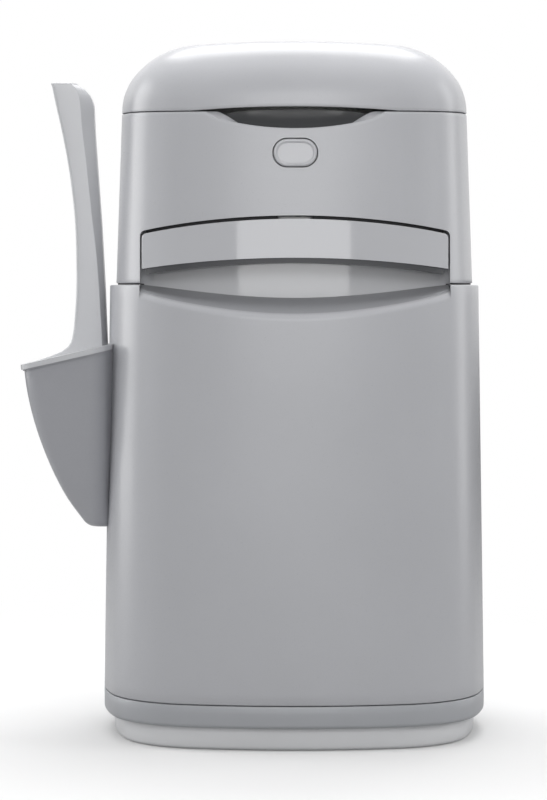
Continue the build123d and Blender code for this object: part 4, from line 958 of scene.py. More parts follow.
@dataclass
class Head:
    """Head moulding: wall with the mouth, the button hole and the finger notch under the lid."""

    edge_round: float = 0.6
    shadow_gap: float = 0.4
    seal_thick: float = 1.4
    seal_back: float = 3.0
    latch_half: float = 10.5
    notch_half: float = 58.0
    notch_radius: float = 10.8
    notch_y: float = -91.5
    dish_half: float = 42.6
    dish_end: float = 383.6
    dish_top: float = 387.4
    dish_shallow: float = 4.0
    dish_deep: float = 17.0
    dish_wall: float = 1.2
    dish_square: float = 0.3
    mouth_top: float = 322.8
    mouth_arch: float = 499.0
    mouth_corner: float = 3.6
    button_z: float = 360.4
    button_long: float = 26.4
    button_tall: float = 16.7
    button_clear: float = 0.6
    lug_x: float = 30.0
    lug_half: float = 7.0
    hinge_y: float = 103.0
    hinge_z: float = 286.5
    knuckle_radius: float = 4.8
    lid_lug_x: float = 28.0
    lid_lug_half: float = 6.0
    lid_hinge_y: float = 99.0
    lid_hinge_z: float = 395.5
    lid_knuckle_radius: float = 4.2
    knuckle_length: float = 7.6
    knuckle_gap: float = 0.4

    def build(self) -> None:
        """Builds the wall and the dish behind the notch."""
        shell = self.build_wall()
        dress(shell, "head", Finish.SATIN_ABS, ["head_shell"])
        # the dish's dark grey is painted shade under the lid's edge
        dress(self.build_dish(), "head", Finish.DISH_PAINTED_SHADE_ABS)
        dress(self.build_ledge(), "head", Finish.SATIN_ABS)
        dress(self.build_seam_seal(), "head", Finish.SEAL_EPDM)
        dress(self.build_mouth_seal(), "head", Finish.SEAL_EPDM)

    def build_seam_seal(self) -> bpy.types.Object:
        """Builds the black ring under the head's wall that closes the gap over the pail's rim."""

        def wall(inset: float, z: float) -> Place:
            return lambda s: Vector((*s.at(FORM.head_step + inset), z))

        low, high = FORM.rim_top + 0.05, FORM.head_bottom + self.shadow_gap + 0.2
        skin = RingSkin(ROUND, wall(1.0, low))
        first = skin.edges
        for inset, z in ((1.0, high), (1.0 + self.seal_thick, high), (1.0 + self.seal_thick, low)):
            skin.grow(wall(inset, z))
        skin.join(first)
        ring = finish_mesh(skin.bm, "seam_seal")
        carve(ring, prism(self.mouth_outline(), -130.0, -45.0))
        for side in (-1, 1):
            room = bmesh.new()
            bmesh.ops.create_cube(room, size=1.0)
            bmesh.ops.scale(room, verts=room.verts, vec=(34 * MM, 30 * MM, 20 * MM))
            bmesh.ops.translate(room, verts=room.verts, vec=(side * self.lug_x * MM, 100 * MM, 281 * MM))
            carve(ring, room)
        return ring

    def build_mouth_seal(self) -> bpy.types.Object:
        """Builds the black strip in the gap over the pull handle, open in the middle for the latch."""
        columns = 120
        bm = bmesh.new()
        end = self.mouth_top - (self.mouth_arch - math.sqrt(self.mouth_arch**2 - FORM.mouth_half**2))
        half = FORM.mouth_half - self.mouth_corner
        bmesh.ops.create_grid(bm, x_segments=columns, y_segments=1, size=1.0)
        for vert in bm.verts:
            x = vert.co.x * half
            level = arc_level(x, FORM.mouth_half, self.mouth_top, end)
            front = FORM.front_y(x, FORM.head_inset(level) + self.seal_back)
            vert.co = Vector((x, front + (vert.co.y + 1) * 3.0, level + 0.3)) * MM
        bmesh.ops.recalc_face_normals(bm, faces=bm.faces)
        up = sum((face.normal.z for face in bm.faces)) > 0
        thick = (self.seal_thick + 0.6) * MM
        bmesh.ops.solidify(bm, geom=list(bm.faces), thickness=thick if up else -thick)
        strip = finish_mesh(bm, "mouth_seal")
        room = bmesh.new()
        bmesh.ops.create_cube(room, size=1.0)
        bmesh.ops.scale(room, verts=room.verts, vec=(2 * self.latch_half * MM, 60 * MM, 30 * MM))
        bmesh.ops.translate(room, verts=room.verts, vec=(0, -95 * MM, 322 * MM))
        carve(strip, room)
        return strip

    def top_edge(self, station: Station, inset: float) -> float:
        """Gives the level of the wall's top edge: the parting plane, dipped by the finger notch."""
        _, y = station.at(FORM.head_inset(FORM.seam_front) + inset)
        level = FORM.seam(y) - FORM.seam_gap / 2
        point = FORM.hood_point(station, level, inset)
        level = FORM.seam(point.y) - FORM.seam_gap / 2
        if point.y < -60 and abs(point.x) < self.notch_half:
            reach = arc_level(point.x, self.notch_half, self.notch_radius, 0.0)
            across = min(max(point.y - self.notch_y, -reach), reach)
            fade = min(max((self.notch_y + 2.5 - point.y) / 2.0, 0.0), 1.0)
            level -= math.sqrt(reach**2 - across**2) * fade
        return level

    def build_wall(self) -> bpy.types.Object:
        """Builds the wall as one closed skin and cuts the mouth, the button hole and the hinge gaps."""
        bottom = FORM.head_bottom + self.shadow_gap

        def wall(inset: float, share: float, lift: float) -> Place:
            def place(station: Station) -> Vector:
                top = self.top_edge(station, inset)
                return FORM.hood_point(station, bottom + (top - bottom) * share + lift, inset)

            return place

        r = self.edge_round
        skin = RingSkin(ROUND, wall(r, 0.0, 0.0))
        first = skin.edges
        skin.grow(wall(0.3 * r, 0.0, 0.3 * r))
        skin.grow(wall(0.0, 0.0, r))
        for step in range(1, 40):
            skin.grow(wall(0.0, step / 40, 0.0))
        skin.grow(wall(0.0, 1.0, -r))
        skin.grow(wall(0.3 * r, 1.0, -0.3 * r))
        skin.grow(wall(r, 1.0, 0.0))
        skin.grow(wall(FORM.wall, 1.0, 0.0))
        for step in range(1, 12):
            skin.grow(wall(FORM.wall, 1.0 - step / 12, 0.0))
        skin.grow(wall(FORM.wall, 0.0, 0.0))
        skin.join(first)
        shell = finish_mesh(skin.bm, "head_wall")
        carve(shell, prism(self.mouth_outline(), -130.0, -45.0))
        carve(shell, prism(stadium(self.button_long, self.button_tall, self.button_clear, self.button_z), -130.0, -70.0))
        for side in (-1, 1):
            gap = self.lug_half + self.knuckle_gap
            room = bmesh.new()
            bmesh.ops.create_cube(room, size=1.0)
            bmesh.ops.scale(room, verts=room.verts, vec=(2 * gap * MM, 30 * MM, 22.3 * MM))
            bmesh.ops.translate(room, verts=room.verts, vec=(side * self.lug_x * MM, 100 * MM, 281.15 * MM))
            carve(shell, room)
            for end in (-1, 1):
                x = side * self.lug_x + end * (gap + self.knuckle_length / 2)
                barrel = knuckle(
                    x, self.knuckle_length / 2, self.hinge_y, self.hinge_z, self.knuckle_radius, 290.0, 14.0
                )
                carve(shell, barrel, Cut.JOIN)
            barrel = knuckle(
                side * self.lid_lug_x,
                self.lid_lug_half,
                self.lid_hinge_y,
                self.lid_hinge_z,
                self.lid_knuckle_radius,
                376.0,
                20.0,
            )
            carve(shell, barrel, Cut.JOIN)
        return shell

    def mouth_outline(self) -> list[tuple[float, float]]:
        """Gives x and z round the mouth: arched top with small corner arcs, open below."""
        half, corner = FORM.mouth_half, self.mouth_corner
        end = self.mouth_top - (self.mouth_arch - math.sqrt(self.mouth_arch**2 - half**2))
        outline = [(-half, 262.0)]
        for step in range(7):
            turn = math.radians(15 * step)
            outline.append((-half + corner * (1 - math.cos(turn)), end - corner * (1 - math.sin(turn)) + 0.6))
        for step in range(1, 64):
            x = (half - corner) * (step / 32 - 1)
            outline.append((x, arc_level(x, half, self.mouth_top, end)))
        for step in range(6, -1, -1):
            turn = math.radians(15 * step)
            outline.append((half - corner * (1 - math.cos(turn)), end - corner * (1 - math.sin(turn)) + 0.6))
        outline.append((half, 262.0))
        return outline

    def build_dish(self) -> bpy.types.Object:
        """Builds the bowl behind the notch: it leaves the wall level, curves up and ends in a bowed rear edge."""
        columns, rows = 80, 20
        bm = bmesh.new()
        bmesh.ops.create_grid(bm, x_segments=columns, y_segments=rows, size=1.0)
        for vert in bm.verts:
            x = vert.co.x * self.dish_half
            notch = arc_level(x, self.notch_half, self.notch_radius, 0.0)
            low = FORM.seam_front - FORM.seam_gap / 2 - notch - 0.25
            bow = math.sqrt(max(1 - vert.co.x**2, 0.0))
            high = self.dish_end + (self.dish_top - self.dish_end) * bow
            front = FORM.front_y(x, FORM.head_inset(low) + 1.2)
            rear = front + self.dish_shallow + (self.dish_deep - self.dish_shallow) * bow
            turn = math.pi / 2 * (vert.co.y + 1) / 2
            reach = math.sin(turn) ** self.dish_square
            point = (x, front + (rear - front) * reach, low + (high - low) * (1 - math.cos(turn)))
            vert.co = Vector(point) * MM
        bmesh.ops.recalc_face_normals(bm, faces=bm.faces)
        down = sum((face.normal.z for face in bm.faces)) < 0
        thick = self.dish_wall * MM
        bmesh.ops.solidify(bm, geom=list(bm.faces), thickness=-thick if down else thick)
        return finish_mesh(bm, "notch_dish")

    def build_ledge(self) -> bpy.types.Object:
        """Builds the inner ledge that the deck rests on."""

        def wall(inset: float, z: float) -> Place:
            return lambda s: Vector((*s.at(FORM.head_inset(z) + inset), z))

        skin = RingSkin(ROUND, wall(FORM.wall - 0.2, 322.4))
        first = skin.edges
        for inset, z in ((FORM.wall + 4.5, 326.0), (FORM.wall + 4.5, 327.9), (FORM.wall - 0.2, 327.9)):
            skin.grow(wall(inset, z))
        skin.join(first)
        ledge = finish_mesh(skin.bm, "deck_ledge")
        room = bmesh.new()
        bmesh.ops.create_cube(room, size=1.0)
        bmesh.ops.scale(room, verts=room.verts, vec=(260 * MM, 80 * MM, 40 * MM))
        bmesh.ops.translate(room, verts=room.verts, vec=(0, -90 * MM, 320 * MM))
        carve(ledge, room)
        return ledge


@dataclass
class Lid:
    """Domed lid: one smooth crown with an arched front edge over the notch."""

    arch_half: float = 62.0
    arch_rise: float = 2.4
    edge_round: float = 0.6
    lug_x: float = 28.0
    lug_half: float = 6.0
    hinge_y: float = 99.0
    hinge_z: float = 395.5
    knuckle_radius: float = 4.2
    knuckle_length: float = 7.6
    knuckle_gap: float = 0.4

    def build(self) -> None:
        """Builds the lid."""
        dress(self.build_crown(), "lid", Finish.SATIN_ABS, ["lid_cover"])

    def bottom_edge(self, station: Station, inset: float) -> float:
        """Gives the level of the lid's lower edge: the parting plane, lifted by the arch at the front."""
        _, y = station.at(FORM.head_inset(FORM.seam_front) + inset)
        level = FORM.seam(y) + FORM.seam_gap / 2
        point = FORM.hood_point(station, level, inset)
        level = FORM.seam(point.y) + FORM.seam_gap / 2
        if point.y < -60 and abs(point.x) < self.arch_half:
            level += arc_level(point.x, self.arch_half, self.arch_rise, 0.0)
        return level

    def crown(self, inset: float, share: float) -> Place:
        """Gives the ring a share of the way from the lid's edge to where the round meets the dome.

        Args:
            inset: how far inside the outer skin, mm.
            share: 0 at the edge, 1 on the dome.

        Returns:
            The place of each station.
        """
        bend = FORM.lid_round - inset

        def place(station: Station) -> Vector:
            edge = self.bottom_edge(station, inset)
            point = FORM.hood_point(station, edge, inset)
            top = FORM.dome(*station.at(FORM.head_inset(400.0) + inset)) - inset
            below = top - edge
            straight = max(below - bend, 0.0)
            start = math.asin(min(max((bend - below) / bend, 0.0), 1.0))
            run = straight + bend * (math.pi / 2 - start)
            at = run * share
            if at <= straight:
                return FORM.hood_point(station, edge + at, inset)
            turn = start + (at - straight) / bend
            level = top - bend + bend * math.sin(turn)
            x, y = station.at(FORM.head_inset(min(level, edge + 30)) + inset + bend * (1 - math.cos(turn)))
            if share == 1.0:
                level = FORM.dome(x, y) - inset
            else:
                level += (FORM.dome(x, y) - inset - top) * max(share - 0.5, 0.0) * 2 * (1 if level > edge else 0)
            return Vector((x, y, level)) if point else point

        return place

    def build_crown(self) -> bpy.types.Object:
        """Builds the outer and inner skins from the edge up to their poles."""
        r = self.edge_round

        def edge(inset: float, lift: float) -> Place:
            def place(station: Station) -> Vector:
                return FORM.hood_point(station, self.bottom_edge(station, inset) + lift, inset)

            return place

        def dome(inset: float, share: float) -> Place:
            outer = self.crown(inset, 1.0)

            def place(station: Station) -> Vector:
                point = outer(station)
                x, y = point.x * (1 - share), point.y * (1 - share)
                return Vector((x, y, FORM.dome(x, y) - inset))

            return place

        skin = RingSkin(ROUND, edge(r, 0.0))
        first = skin.edges
        skin.grow(edge(0.3 * r, 0.3 * r))
        skin.grow(edge(0.0, r))
        for step in range(1, 31):
            skin.grow(self.crown(0.0, step / 30))
        for step in range(1, 30):
            skin.grow(dome(0.0, step / 30))
        skin.pole(FORM.height)
        skin.grow(edge(FORM.wall, 0.0), first)
        for step in range(1, 13):
            skin.grow(self.crown(FORM.wall, step / 12))
        for step in range(1, 12):
            skin.grow(dome(FORM.wall, step / 12))
        skin.pole(FORM.height - FORM.wall)
        lid = finish_mesh(skin.bm, "lid_crown")
        for side in (-1, 1):
            gap = self.lug_half + self.knuckle_gap
            room = bmesh.new()
            bmesh.ops.create_cube(room, size=1.0)
            bmesh.ops.scale(room, verts=room.verts, vec=(2 * gap * MM, 30 * MM, 20.5 * MM))
            bmesh.ops.translate(room, verts=room.verts, vec=(side * self.lug_x * MM, 100 * MM, 390.25 * MM))
            carve(lid, room)
            for end in (-1, 1):
                x = side * self.lug_x + end * (gap + self.knuckle_length / 2)
                barrel = knuckle(
                    x, self.knuckle_length / 2, self.hinge_y, self.hinge_z, self.knuckle_radius, 400.0, 8.0
                )
                carve(lid, barrel, Cut.JOIN)
        return lid


def stadium(long: float, tall: float, grow: float, middle_z: float, steps: int = 24) -> list[tuple[float, float]]:
    """Gives x and z round a stadium centred on the pail's axis.

    Args:
        long: overall width, mm.
        tall: overall height, mm.
        grow: added all round, mm.
        middle_z: level of its centre, mm.
        steps: segments of each end arc.

    Returns:
        The outline, anticlockwise.
    """
    radius = tall / 2 + grow
    straight = (long - tall) / 2
    outline = []
    for side, start in ((1, -90), (-1, 90)):
        for step in range(steps + 1):
            turn = math.radians(start + 180 * step / steps)
            outline.append((side * straight + radius * math.cos(turn), middle_z + radius * math.sin(turn)))
    return outline


# ---------------------------------------------------------------- handle, recess and button


@dataclass
class PullHandle:
    """Front panel that is drawn forward: a thin skin flush with the head, hollow behind."""

    side_gap: float = 1.2
    top_gap: float = 2.1
    foot_middle: float = 297.4
    foot_end: float = 290.9
    skin: float = 3.0
    corner: float = 2.4
    edge_round: float = 0.7
    rear_gap: float = 1.5

    def build(self, head: Head, pail: Pail) -> None:
        """Builds the panel."""
        dress(self.build_panel(head, pail), "slider", Finish.GLOSS_ABS, ["pull_handle"], 40.0)

    def outline(self, head: Head, x: float) -> tuple[float, float]:
        """Gives the panel's bottom and top levels at x."""
        half = FORM.mouth_half - self.side_gap
        end = head.mouth_top - (head.mouth_arch - math.sqrt(head.mouth_arch**2 - FORM.mouth_half**2))
        top = arc_level(x, FORM.mouth_half, head.mouth_top, end) - self.top_gap
        over = abs(x) - (half - self.corner)
        if over > 0:
            top -= self.corner - math.sqrt(max(self.corner**2 - over**2, 0.0))
        return arc_level(x, half, self.foot_middle, self.foot_end), top

    def build_panel(self, head: Head, pail: Pail) -> bpy.types.Object:
        """Lays a grid on the head's surface, draws its sides and top back, and thickens it inwards."""
        columns, rows = 150, 24
        half = FORM.mouth_half - self.side_gap
        bm = bmesh.new()
        bmesh.ops.create_grid(bm, x_segments=columns, y_segments=rows, size=1.0)
        for vert in bm.verts:
            x = half * math.sin(vert.co.x * math.pi / 2) if abs(vert.co.x) < 1 else half * vert.co.x
            low, high = self.outline(head, x)
            z = low + (high - low) * (vert.co.y + 1) / 2
            vert.co = Vector((x, FORM.front_y(x, FORM.head_inset(z)), z)) * MM
        low_edges = [
            edge
            for edge in bm.edges
            if edge.is_boundary and all(abs(v.co.z / MM - self.outline(head, v.co.x / MM)[0]) < 0.01 for v in edge.verts)
        ]
        spare = set(low_edges)
        rim = [edge for edge in bm.edges if edge.is_boundary and edge not in spare]
        corner = list(rim)
        made = bmesh.ops.extrude_edge_only(bm, edges=rim)["geom"]
        for vert in (item for item in made if isinstance(item, bmesh.types.BMVert)):
            x = vert.co.x / MM
            vert.co.y = (pail.recess_y(x, 0.0) - self.rear_gap) * MM
        bmesh.ops.recalc_face_normals(bm, faces=bm.faces)
        outward = sum(face.normal.y for face in bm.faces) < 0
        bmesh.ops.bevel(
            bm,
            geom=corner,
            offset=self.edge_round * MM,
            segments=3,
            profile=0.5,
            affect="EDGES",
            material=-1,
            clamp_overlap=True,
        )
        thick = self.skin * MM
        bmesh.ops.solidify(bm, geom=list(bm.faces), thickness=thick if outward else -thick)
        return finish_mesh(bm, "handle_panel")


@dataclass
class Recess:
    """Curved wall behind the handle, with its sides, up to the ceiling level."""

    thick: float = 2.2
    foot: float = 269.5
    ceiling: float = 323.6
    rail_x: float = 84.0
    rail_wide: float = 6.8
    rail_low: float = 295.6
    rail_high: float = 306.4

    def build(self, pail: Pail) -> None:
        """Builds the wall."""
        # the recess wall's paler grey is painted light against the shade under the handle
        dress(self.build_wall(pail), "head", Finish.RECESS_PAINTED_LIGHT_ABS, ["recess_wall"], 40.0)

    def build_wall(self, pail: Pail) -> bpy.types.Object:
        """Bends a grid along the sides and the back arc, and thickens it outwards."""
        side_steps, arc_steps, rows = 12, 96, 20
        half = FORM.mouth_half
        front_y = FORM.front_y(half, FORM.head_inset(300.0) + FORM.wall + 0.2)
        columns = 2 * side_steps + arc_steps
        bm = bmesh.new()
        bmesh.ops.create_grid(bm, x_segments=columns, y_segments=rows, size=1.0)
        for vert in bm.verts:
            column = round((vert.co.x + 1) / 2 * columns)
            side = -1 if column < columns / 2 else 1
            run = min(column, columns - column)
            if run < side_steps:
                x = side * half
                y = front_y + (pail.recess_end_y - front_y) * run / side_steps
            else:
                x = half * ((column - side_steps) / arc_steps * 2 - 1)
                y = pail.recess_y(x)
            low = self.foot if abs(x) < half - 2.5 else FORM.head_bottom
            z = low + (self.ceiling - low) * (vert.co.y + 1) / 2
            vert.co = Vector((x, y, z)) * MM
        bmesh.ops.recalc_face_normals(bm, faces=bm.faces)
        middle = min(bm.faces, key=lambda face: abs(face.calc_center_median().x))
        forward = middle.normal.y < 0
        thick = self.thick * MM
        bmesh.ops.solidify(bm, geom=list(bm.faces), thickness=thick if forward else -thick)
        wall = finish_mesh(bm, "recess_back")
        for side in (-1, 1):
            room = bmesh.new()
            bmesh.ops.create_cube(room, size=1.0)
            tall = self.rail_high - self.rail_low
            bmesh.ops.scale(room, verts=room.verts, vec=(self.rail_wide * MM, 30 * MM, tall * MM))
            bmesh.ops.translate(
                room, verts=room.verts, vec=(side * self.rail_x * MM, -62 * MM, (self.rail_low + tall / 2) * MM)
            )
            carve(wall, room)
        return wall


@dataclass
class Button:
    """Stadium push button with a soft step round its face."""

    grow: float = 0.0
    face_y: float = -97.6
    depth: float = 8.0
    edge_round: float = 1.2
    step_in: float = 1.9
    step_deep: float = 0.25

    def build(self, head: Head) -> None:
        """Builds the cap."""
        dress(self.build_cap(head), "button", Finish.GLOSS_ABS, ["release_button"], 50.0)

    def build_cap(self, head: Head) -> bpy.types.Object:
        """Extrudes the stadium, rounds its front edge and sinks the face inside a fine ring."""
        low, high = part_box("release_button")
        front = low[1] / MM
        bm = prism(stadium(head.button_long, head.button_tall, 0.0, head.button_z, 32), front, high[1] / MM)
        bmesh.ops.recalc_face_normals(bm, faces=bm.faces)
        face = min(bm.faces, key=lambda item: item.calc_center_median().y)
        bmesh.ops.bevel(
            bm,
            geom=list(face.edges),
            offset=self.edge_round * MM,
            segments=5,
            profile=0.5,
            affect="EDGES",
            material=-1,
        )
        face = min(bm.faces, key=lambda item: (round(item.calc_center_median().y, 6), -item.calc_area()))
        bmesh.ops.inset_region(bm, faces=[face], thickness=0.7 * MM, depth=0.0)
        bmesh.ops.inset_region(bm, faces=[face], thickness=0.25 * MM, depth=-self.step_deep * MM)
        bmesh.ops.inset_region(bm, faces=[face], thickness=0.6 * MM, depth=0.0)
        return finish_mesh(bm, "button_cap")


# ---------------------------------------------------------------- scoop and its holder


def hermite(start: float, end: float, start_slope: float, end_slope: float, t: float) -> float:
    """Blends two values with given slopes; t runs from 0 to 1."""
    t2, t3 = t**2, t**3
    value = (2 * t3 - 3 * t2 + 1) * start + (t3 - 2 * t2 + t) * start_slope
    return value + (3 * t2 - 2 * t3) * end + (t3 - t2) * end_slope


def rounded(hard: Sequence[tuple[float, float]], radii: Sequence[float], steps: int) -> list[tuple[float, float]]:
    """Rounds the corners of a closed outline.

    Args:
        hard: the sharp corners in order.
        radii: one radius for each corner, 0 for a sharp one.
        steps: segments of each rounding.

    Returns:
        The rounded outline, with steps + 1 points for each rounded corner.
    """
    points = []
    for number, radius in enumerate(radii):
        here = Vector(hard[number])
        if radius == 0.0:
            points.append((here.x, here.y))
            continue
        to_before = (Vector(hard[number - 1]) - here).normalized()
        to_after = (Vector(hard[(number + 1) % len(hard)]) - here).normalized()
        half = to_before.angle(to_after) / 2
        reach = radius / math.tan(half)
        centre = here + (to_before + to_after).normalized() * radius / math.sin(half)
        first = here + to_before * reach - centre
        last = here + to_after * reach - centre
        sweep = first.angle_signed(last)
        for step in range(steps + 1):
            arm = Matrix.Rotation(-sweep * step / steps, 2) @ first
            points.append((centre.x + arm.x, centre.y + arm.y))
    return points


def taken_mesh(thing: bpy.types.Object) -> bmesh.types.BMesh:
    """Takes an object's mesh as a tool and drops the object."""
    bm = bmesh.new()
    bm.from_mesh(thing.data)
    mesh = thing.data
    bpy.data.objects.remove(thing)
    bpy.data.meshes.remove(mesh)
    return bm


@dataclass(frozen=True)
class HolderSection:
    """Plan of the holder at one level, in mm."""

    level: float
    left_x: float
    shoulder_x: float
    left_half: float
    body_half: float
    corner: float

    def outline(self, inset: float, steps: int = 10) -> list[tuple[float, float]]:
        """Gives x and y round the section, rounded at the left corners and the shoulders.

        Args:
            inset: how far inside the outer face, mm.
            steps: segments of each rounding.

        Returns:
            The outline; every section has the same number of points.
        """
        back, turned_in = -107.0, 34.0
        hard = [
            (back, -self.body_half + turned_in + inset),
            (self.shoulder_x, -self.body_half + inset),
            (self.left_x + inset, -self.left_half + inset),
            (self.left_x + inset, self.left_half - inset),
            (self.shoulder_x, self.body_half - inset),
            (back, self.body_half - turned_in - inset),
        ]
        soft = 3.0 + 0.55 * self.corner
        radii = [0.0, soft, self.corner, self.corner, soft, 0.0]
        return rounded(hard, radii, steps)


@dataclass
class ScoopHolder:
    """Cup that hangs on the pail's left side: flat flanks, soft corners, a flanged rim that climbs to the pail."""

    bottom: float = 129.4
    bottom_round: float = 3.4
    rim_slope: float = 13.0
    rim_left_x: float = -172.0
    rim_left_z: float = 229.0
    bead: float = 0.9
    wall: float = 2.6
    sections: tuple[HolderSection, ...] = (
        HolderSection(246.0, -170.6, -120.0, 40.0, 62.0, 14.0),
        HolderSection(211.0, -166.5, -120.0, 37.0, 58.0, 14.0),
        HolderSection(180.5, -158.1, -120.0, 32.0, 52.0, 12.0),
        HolderSection(150.0, -144.2, -120.0, 27.0, 43.0, 8.0),
        HolderSection(126.6, -127.6, -119.0, 22.0, 34.0, 5.0),
    )

    def section(self, level: float) -> HolderSection:
        """Blends the driving sections smoothly at a level."""
        rows = self.sections
        for number in range(len(rows) - 1):
            upper, lower = rows[number], rows[number + 1]
            if level >= lower.level:
                break
        share = (level - lower.level) / (upper.level - lower.level)
        above = rows[max(number - 1, 0)]
        below = rows[min(number + 2, len(rows) - 1)]

        def blend(name: str) -> float:
            p0, p1, p2, p3 = (getattr(row, name) for row in (below, lower, upper, above))
            span = upper.level - lower.level
            in_slope = (p2 - p0) / max(upper.level - below.level, span) * span
            out_slope = (p3 - p1) / max(above.level - lower.level, span) * span
            return hermite(p1, p2, in_slope, out_slope, share)

        return HolderSection(
            level, blend("left_x"), blend("shoulder_x"), blend("left_half"), blend("body_half"), max(blend("corner"), 1.5)
        )

    def rim_level(self, x: float, rise: float = 0.0) -> float:
        """Gives the level of the rim's plane at x, raised by the rise."""
        return self.rim_left_z + (x - self.rim_left_x) * math.tan(math.radians(self.rim_slope)) + rise

    def form(
        self, inset: float, low: float, cap: Callable[[float], float], soft: float = 0.0, rows: int = 28
    ) -> bmesh.types.BMesh:
        """Lofts the outer form between a level and a sloping cap.

        Args:
            inset: how far inside the outer face, mm.
            low: bottom level, mm.
            cap: gives the cap's level at x, mm.
            soft: radius round the bottom edge, mm.
            rows: rings between them.

        Returns:
            The closed mesh.
        """
        bm = bmesh.new()
        start = self.section(low).outline(inset + soft)
        layer = bm.verts.layers.int.new("station")
        made = bmesh.ops.create_circle(bm, segments=len(start), radius=MM)
        for number, vert in enumerate(made["verts"]):
            vert[layer] = number
            vert.co = Vector((*start[number], low)) * MM
        edges = list(bm.edges)
        foot = list(edges)
        turns = [math.radians(15 * step) for step in range(1, 6)] if soft else []
        steps = [(soft * (1 - math.sin(turn)), soft * (1 - math.cos(turn)), 0.0) for turn in turns]
        steps += [(0.0, soft, row / rows) for row in range(0 if soft else 1, rows + 1)]
        for tuck, lift, share in steps:
            made = bmesh.ops.extrude_edge_only(bm, edges=edges)["geom"]
            verts = [item for item in made if isinstance(item, bmesh.types.BMVert)]
            fresh = set(verts)
            edges = [e for e in made if isinstance(e, bmesh.types.BMEdge) and all(v in fresh for v in e.verts)]
            for vert in verts:
                level = low + lift
                point = (0.0, 0.0)
                for _ in range(3):
                    point = self.section(min(level, 246.0)).outline(inset + tuck)[vert[layer]]
                    level = low + lift + (cap(point[0]) - low - lift) * share
                vert.co = Vector((*point, level)) * MM
        bmesh.ops.contextual_create(bm, geom=foot)
        bmesh.ops.contextual_create(bm, geom=edges)
        bmesh.ops.recalc_face_normals(bm, faces=bm.faces)
        return bm

    def build(self) -> None:
        """Builds the cup with its rim flange, hollows it and fits it to the pail's wall."""
        cup = finish_mesh(self.form(0.0, self.bottom, lambda x: self.rim_level(x), self.bottom_round), "holder_cup")
        flange = finish_mesh(self.form(-self.bead, 200.0, lambda x: self.rim_level(x)), "flange")
        room = self.form(-30.0, 150.0, lambda x: self.rim_level(x, -2.2))
        carve(flange, room)
        carve(cup, taken_mesh(flange), Cut.JOIN)
        carve(cup, self.form(self.wall, self.bottom + self.wall, lambda x: self.rim_level(x, 6.0)))
        carve(cup, self.pail_side(0.4))
        dress(cup, "pail", Finish.HOLDER_PP, ["scoop_holder"])

    def pail_side(self, clear: float) -> bmesh.types.BMesh:
        """Makes the pail's outer form, larger by a clearance, as a tool."""

        def wall(z: float) -> Place:
            return lambda s: Vector((*s.at(FORM.pail_inset(z) - clear), z))

        skin = RingSkin(ROUND, wall(100.0))
        first = skin.edges
        skin.grow(wall(262.0))
        skin.pole(262.0)
        skin.edges = first
        skin.pole(100.0)
        return skin.bm


@dataclass(frozen=True)
class HandleRow:
    """Front outline of the scoop's handle at one level, in mm."""

    level: float
    left_x: float
    crease_x: float
    right_x: float


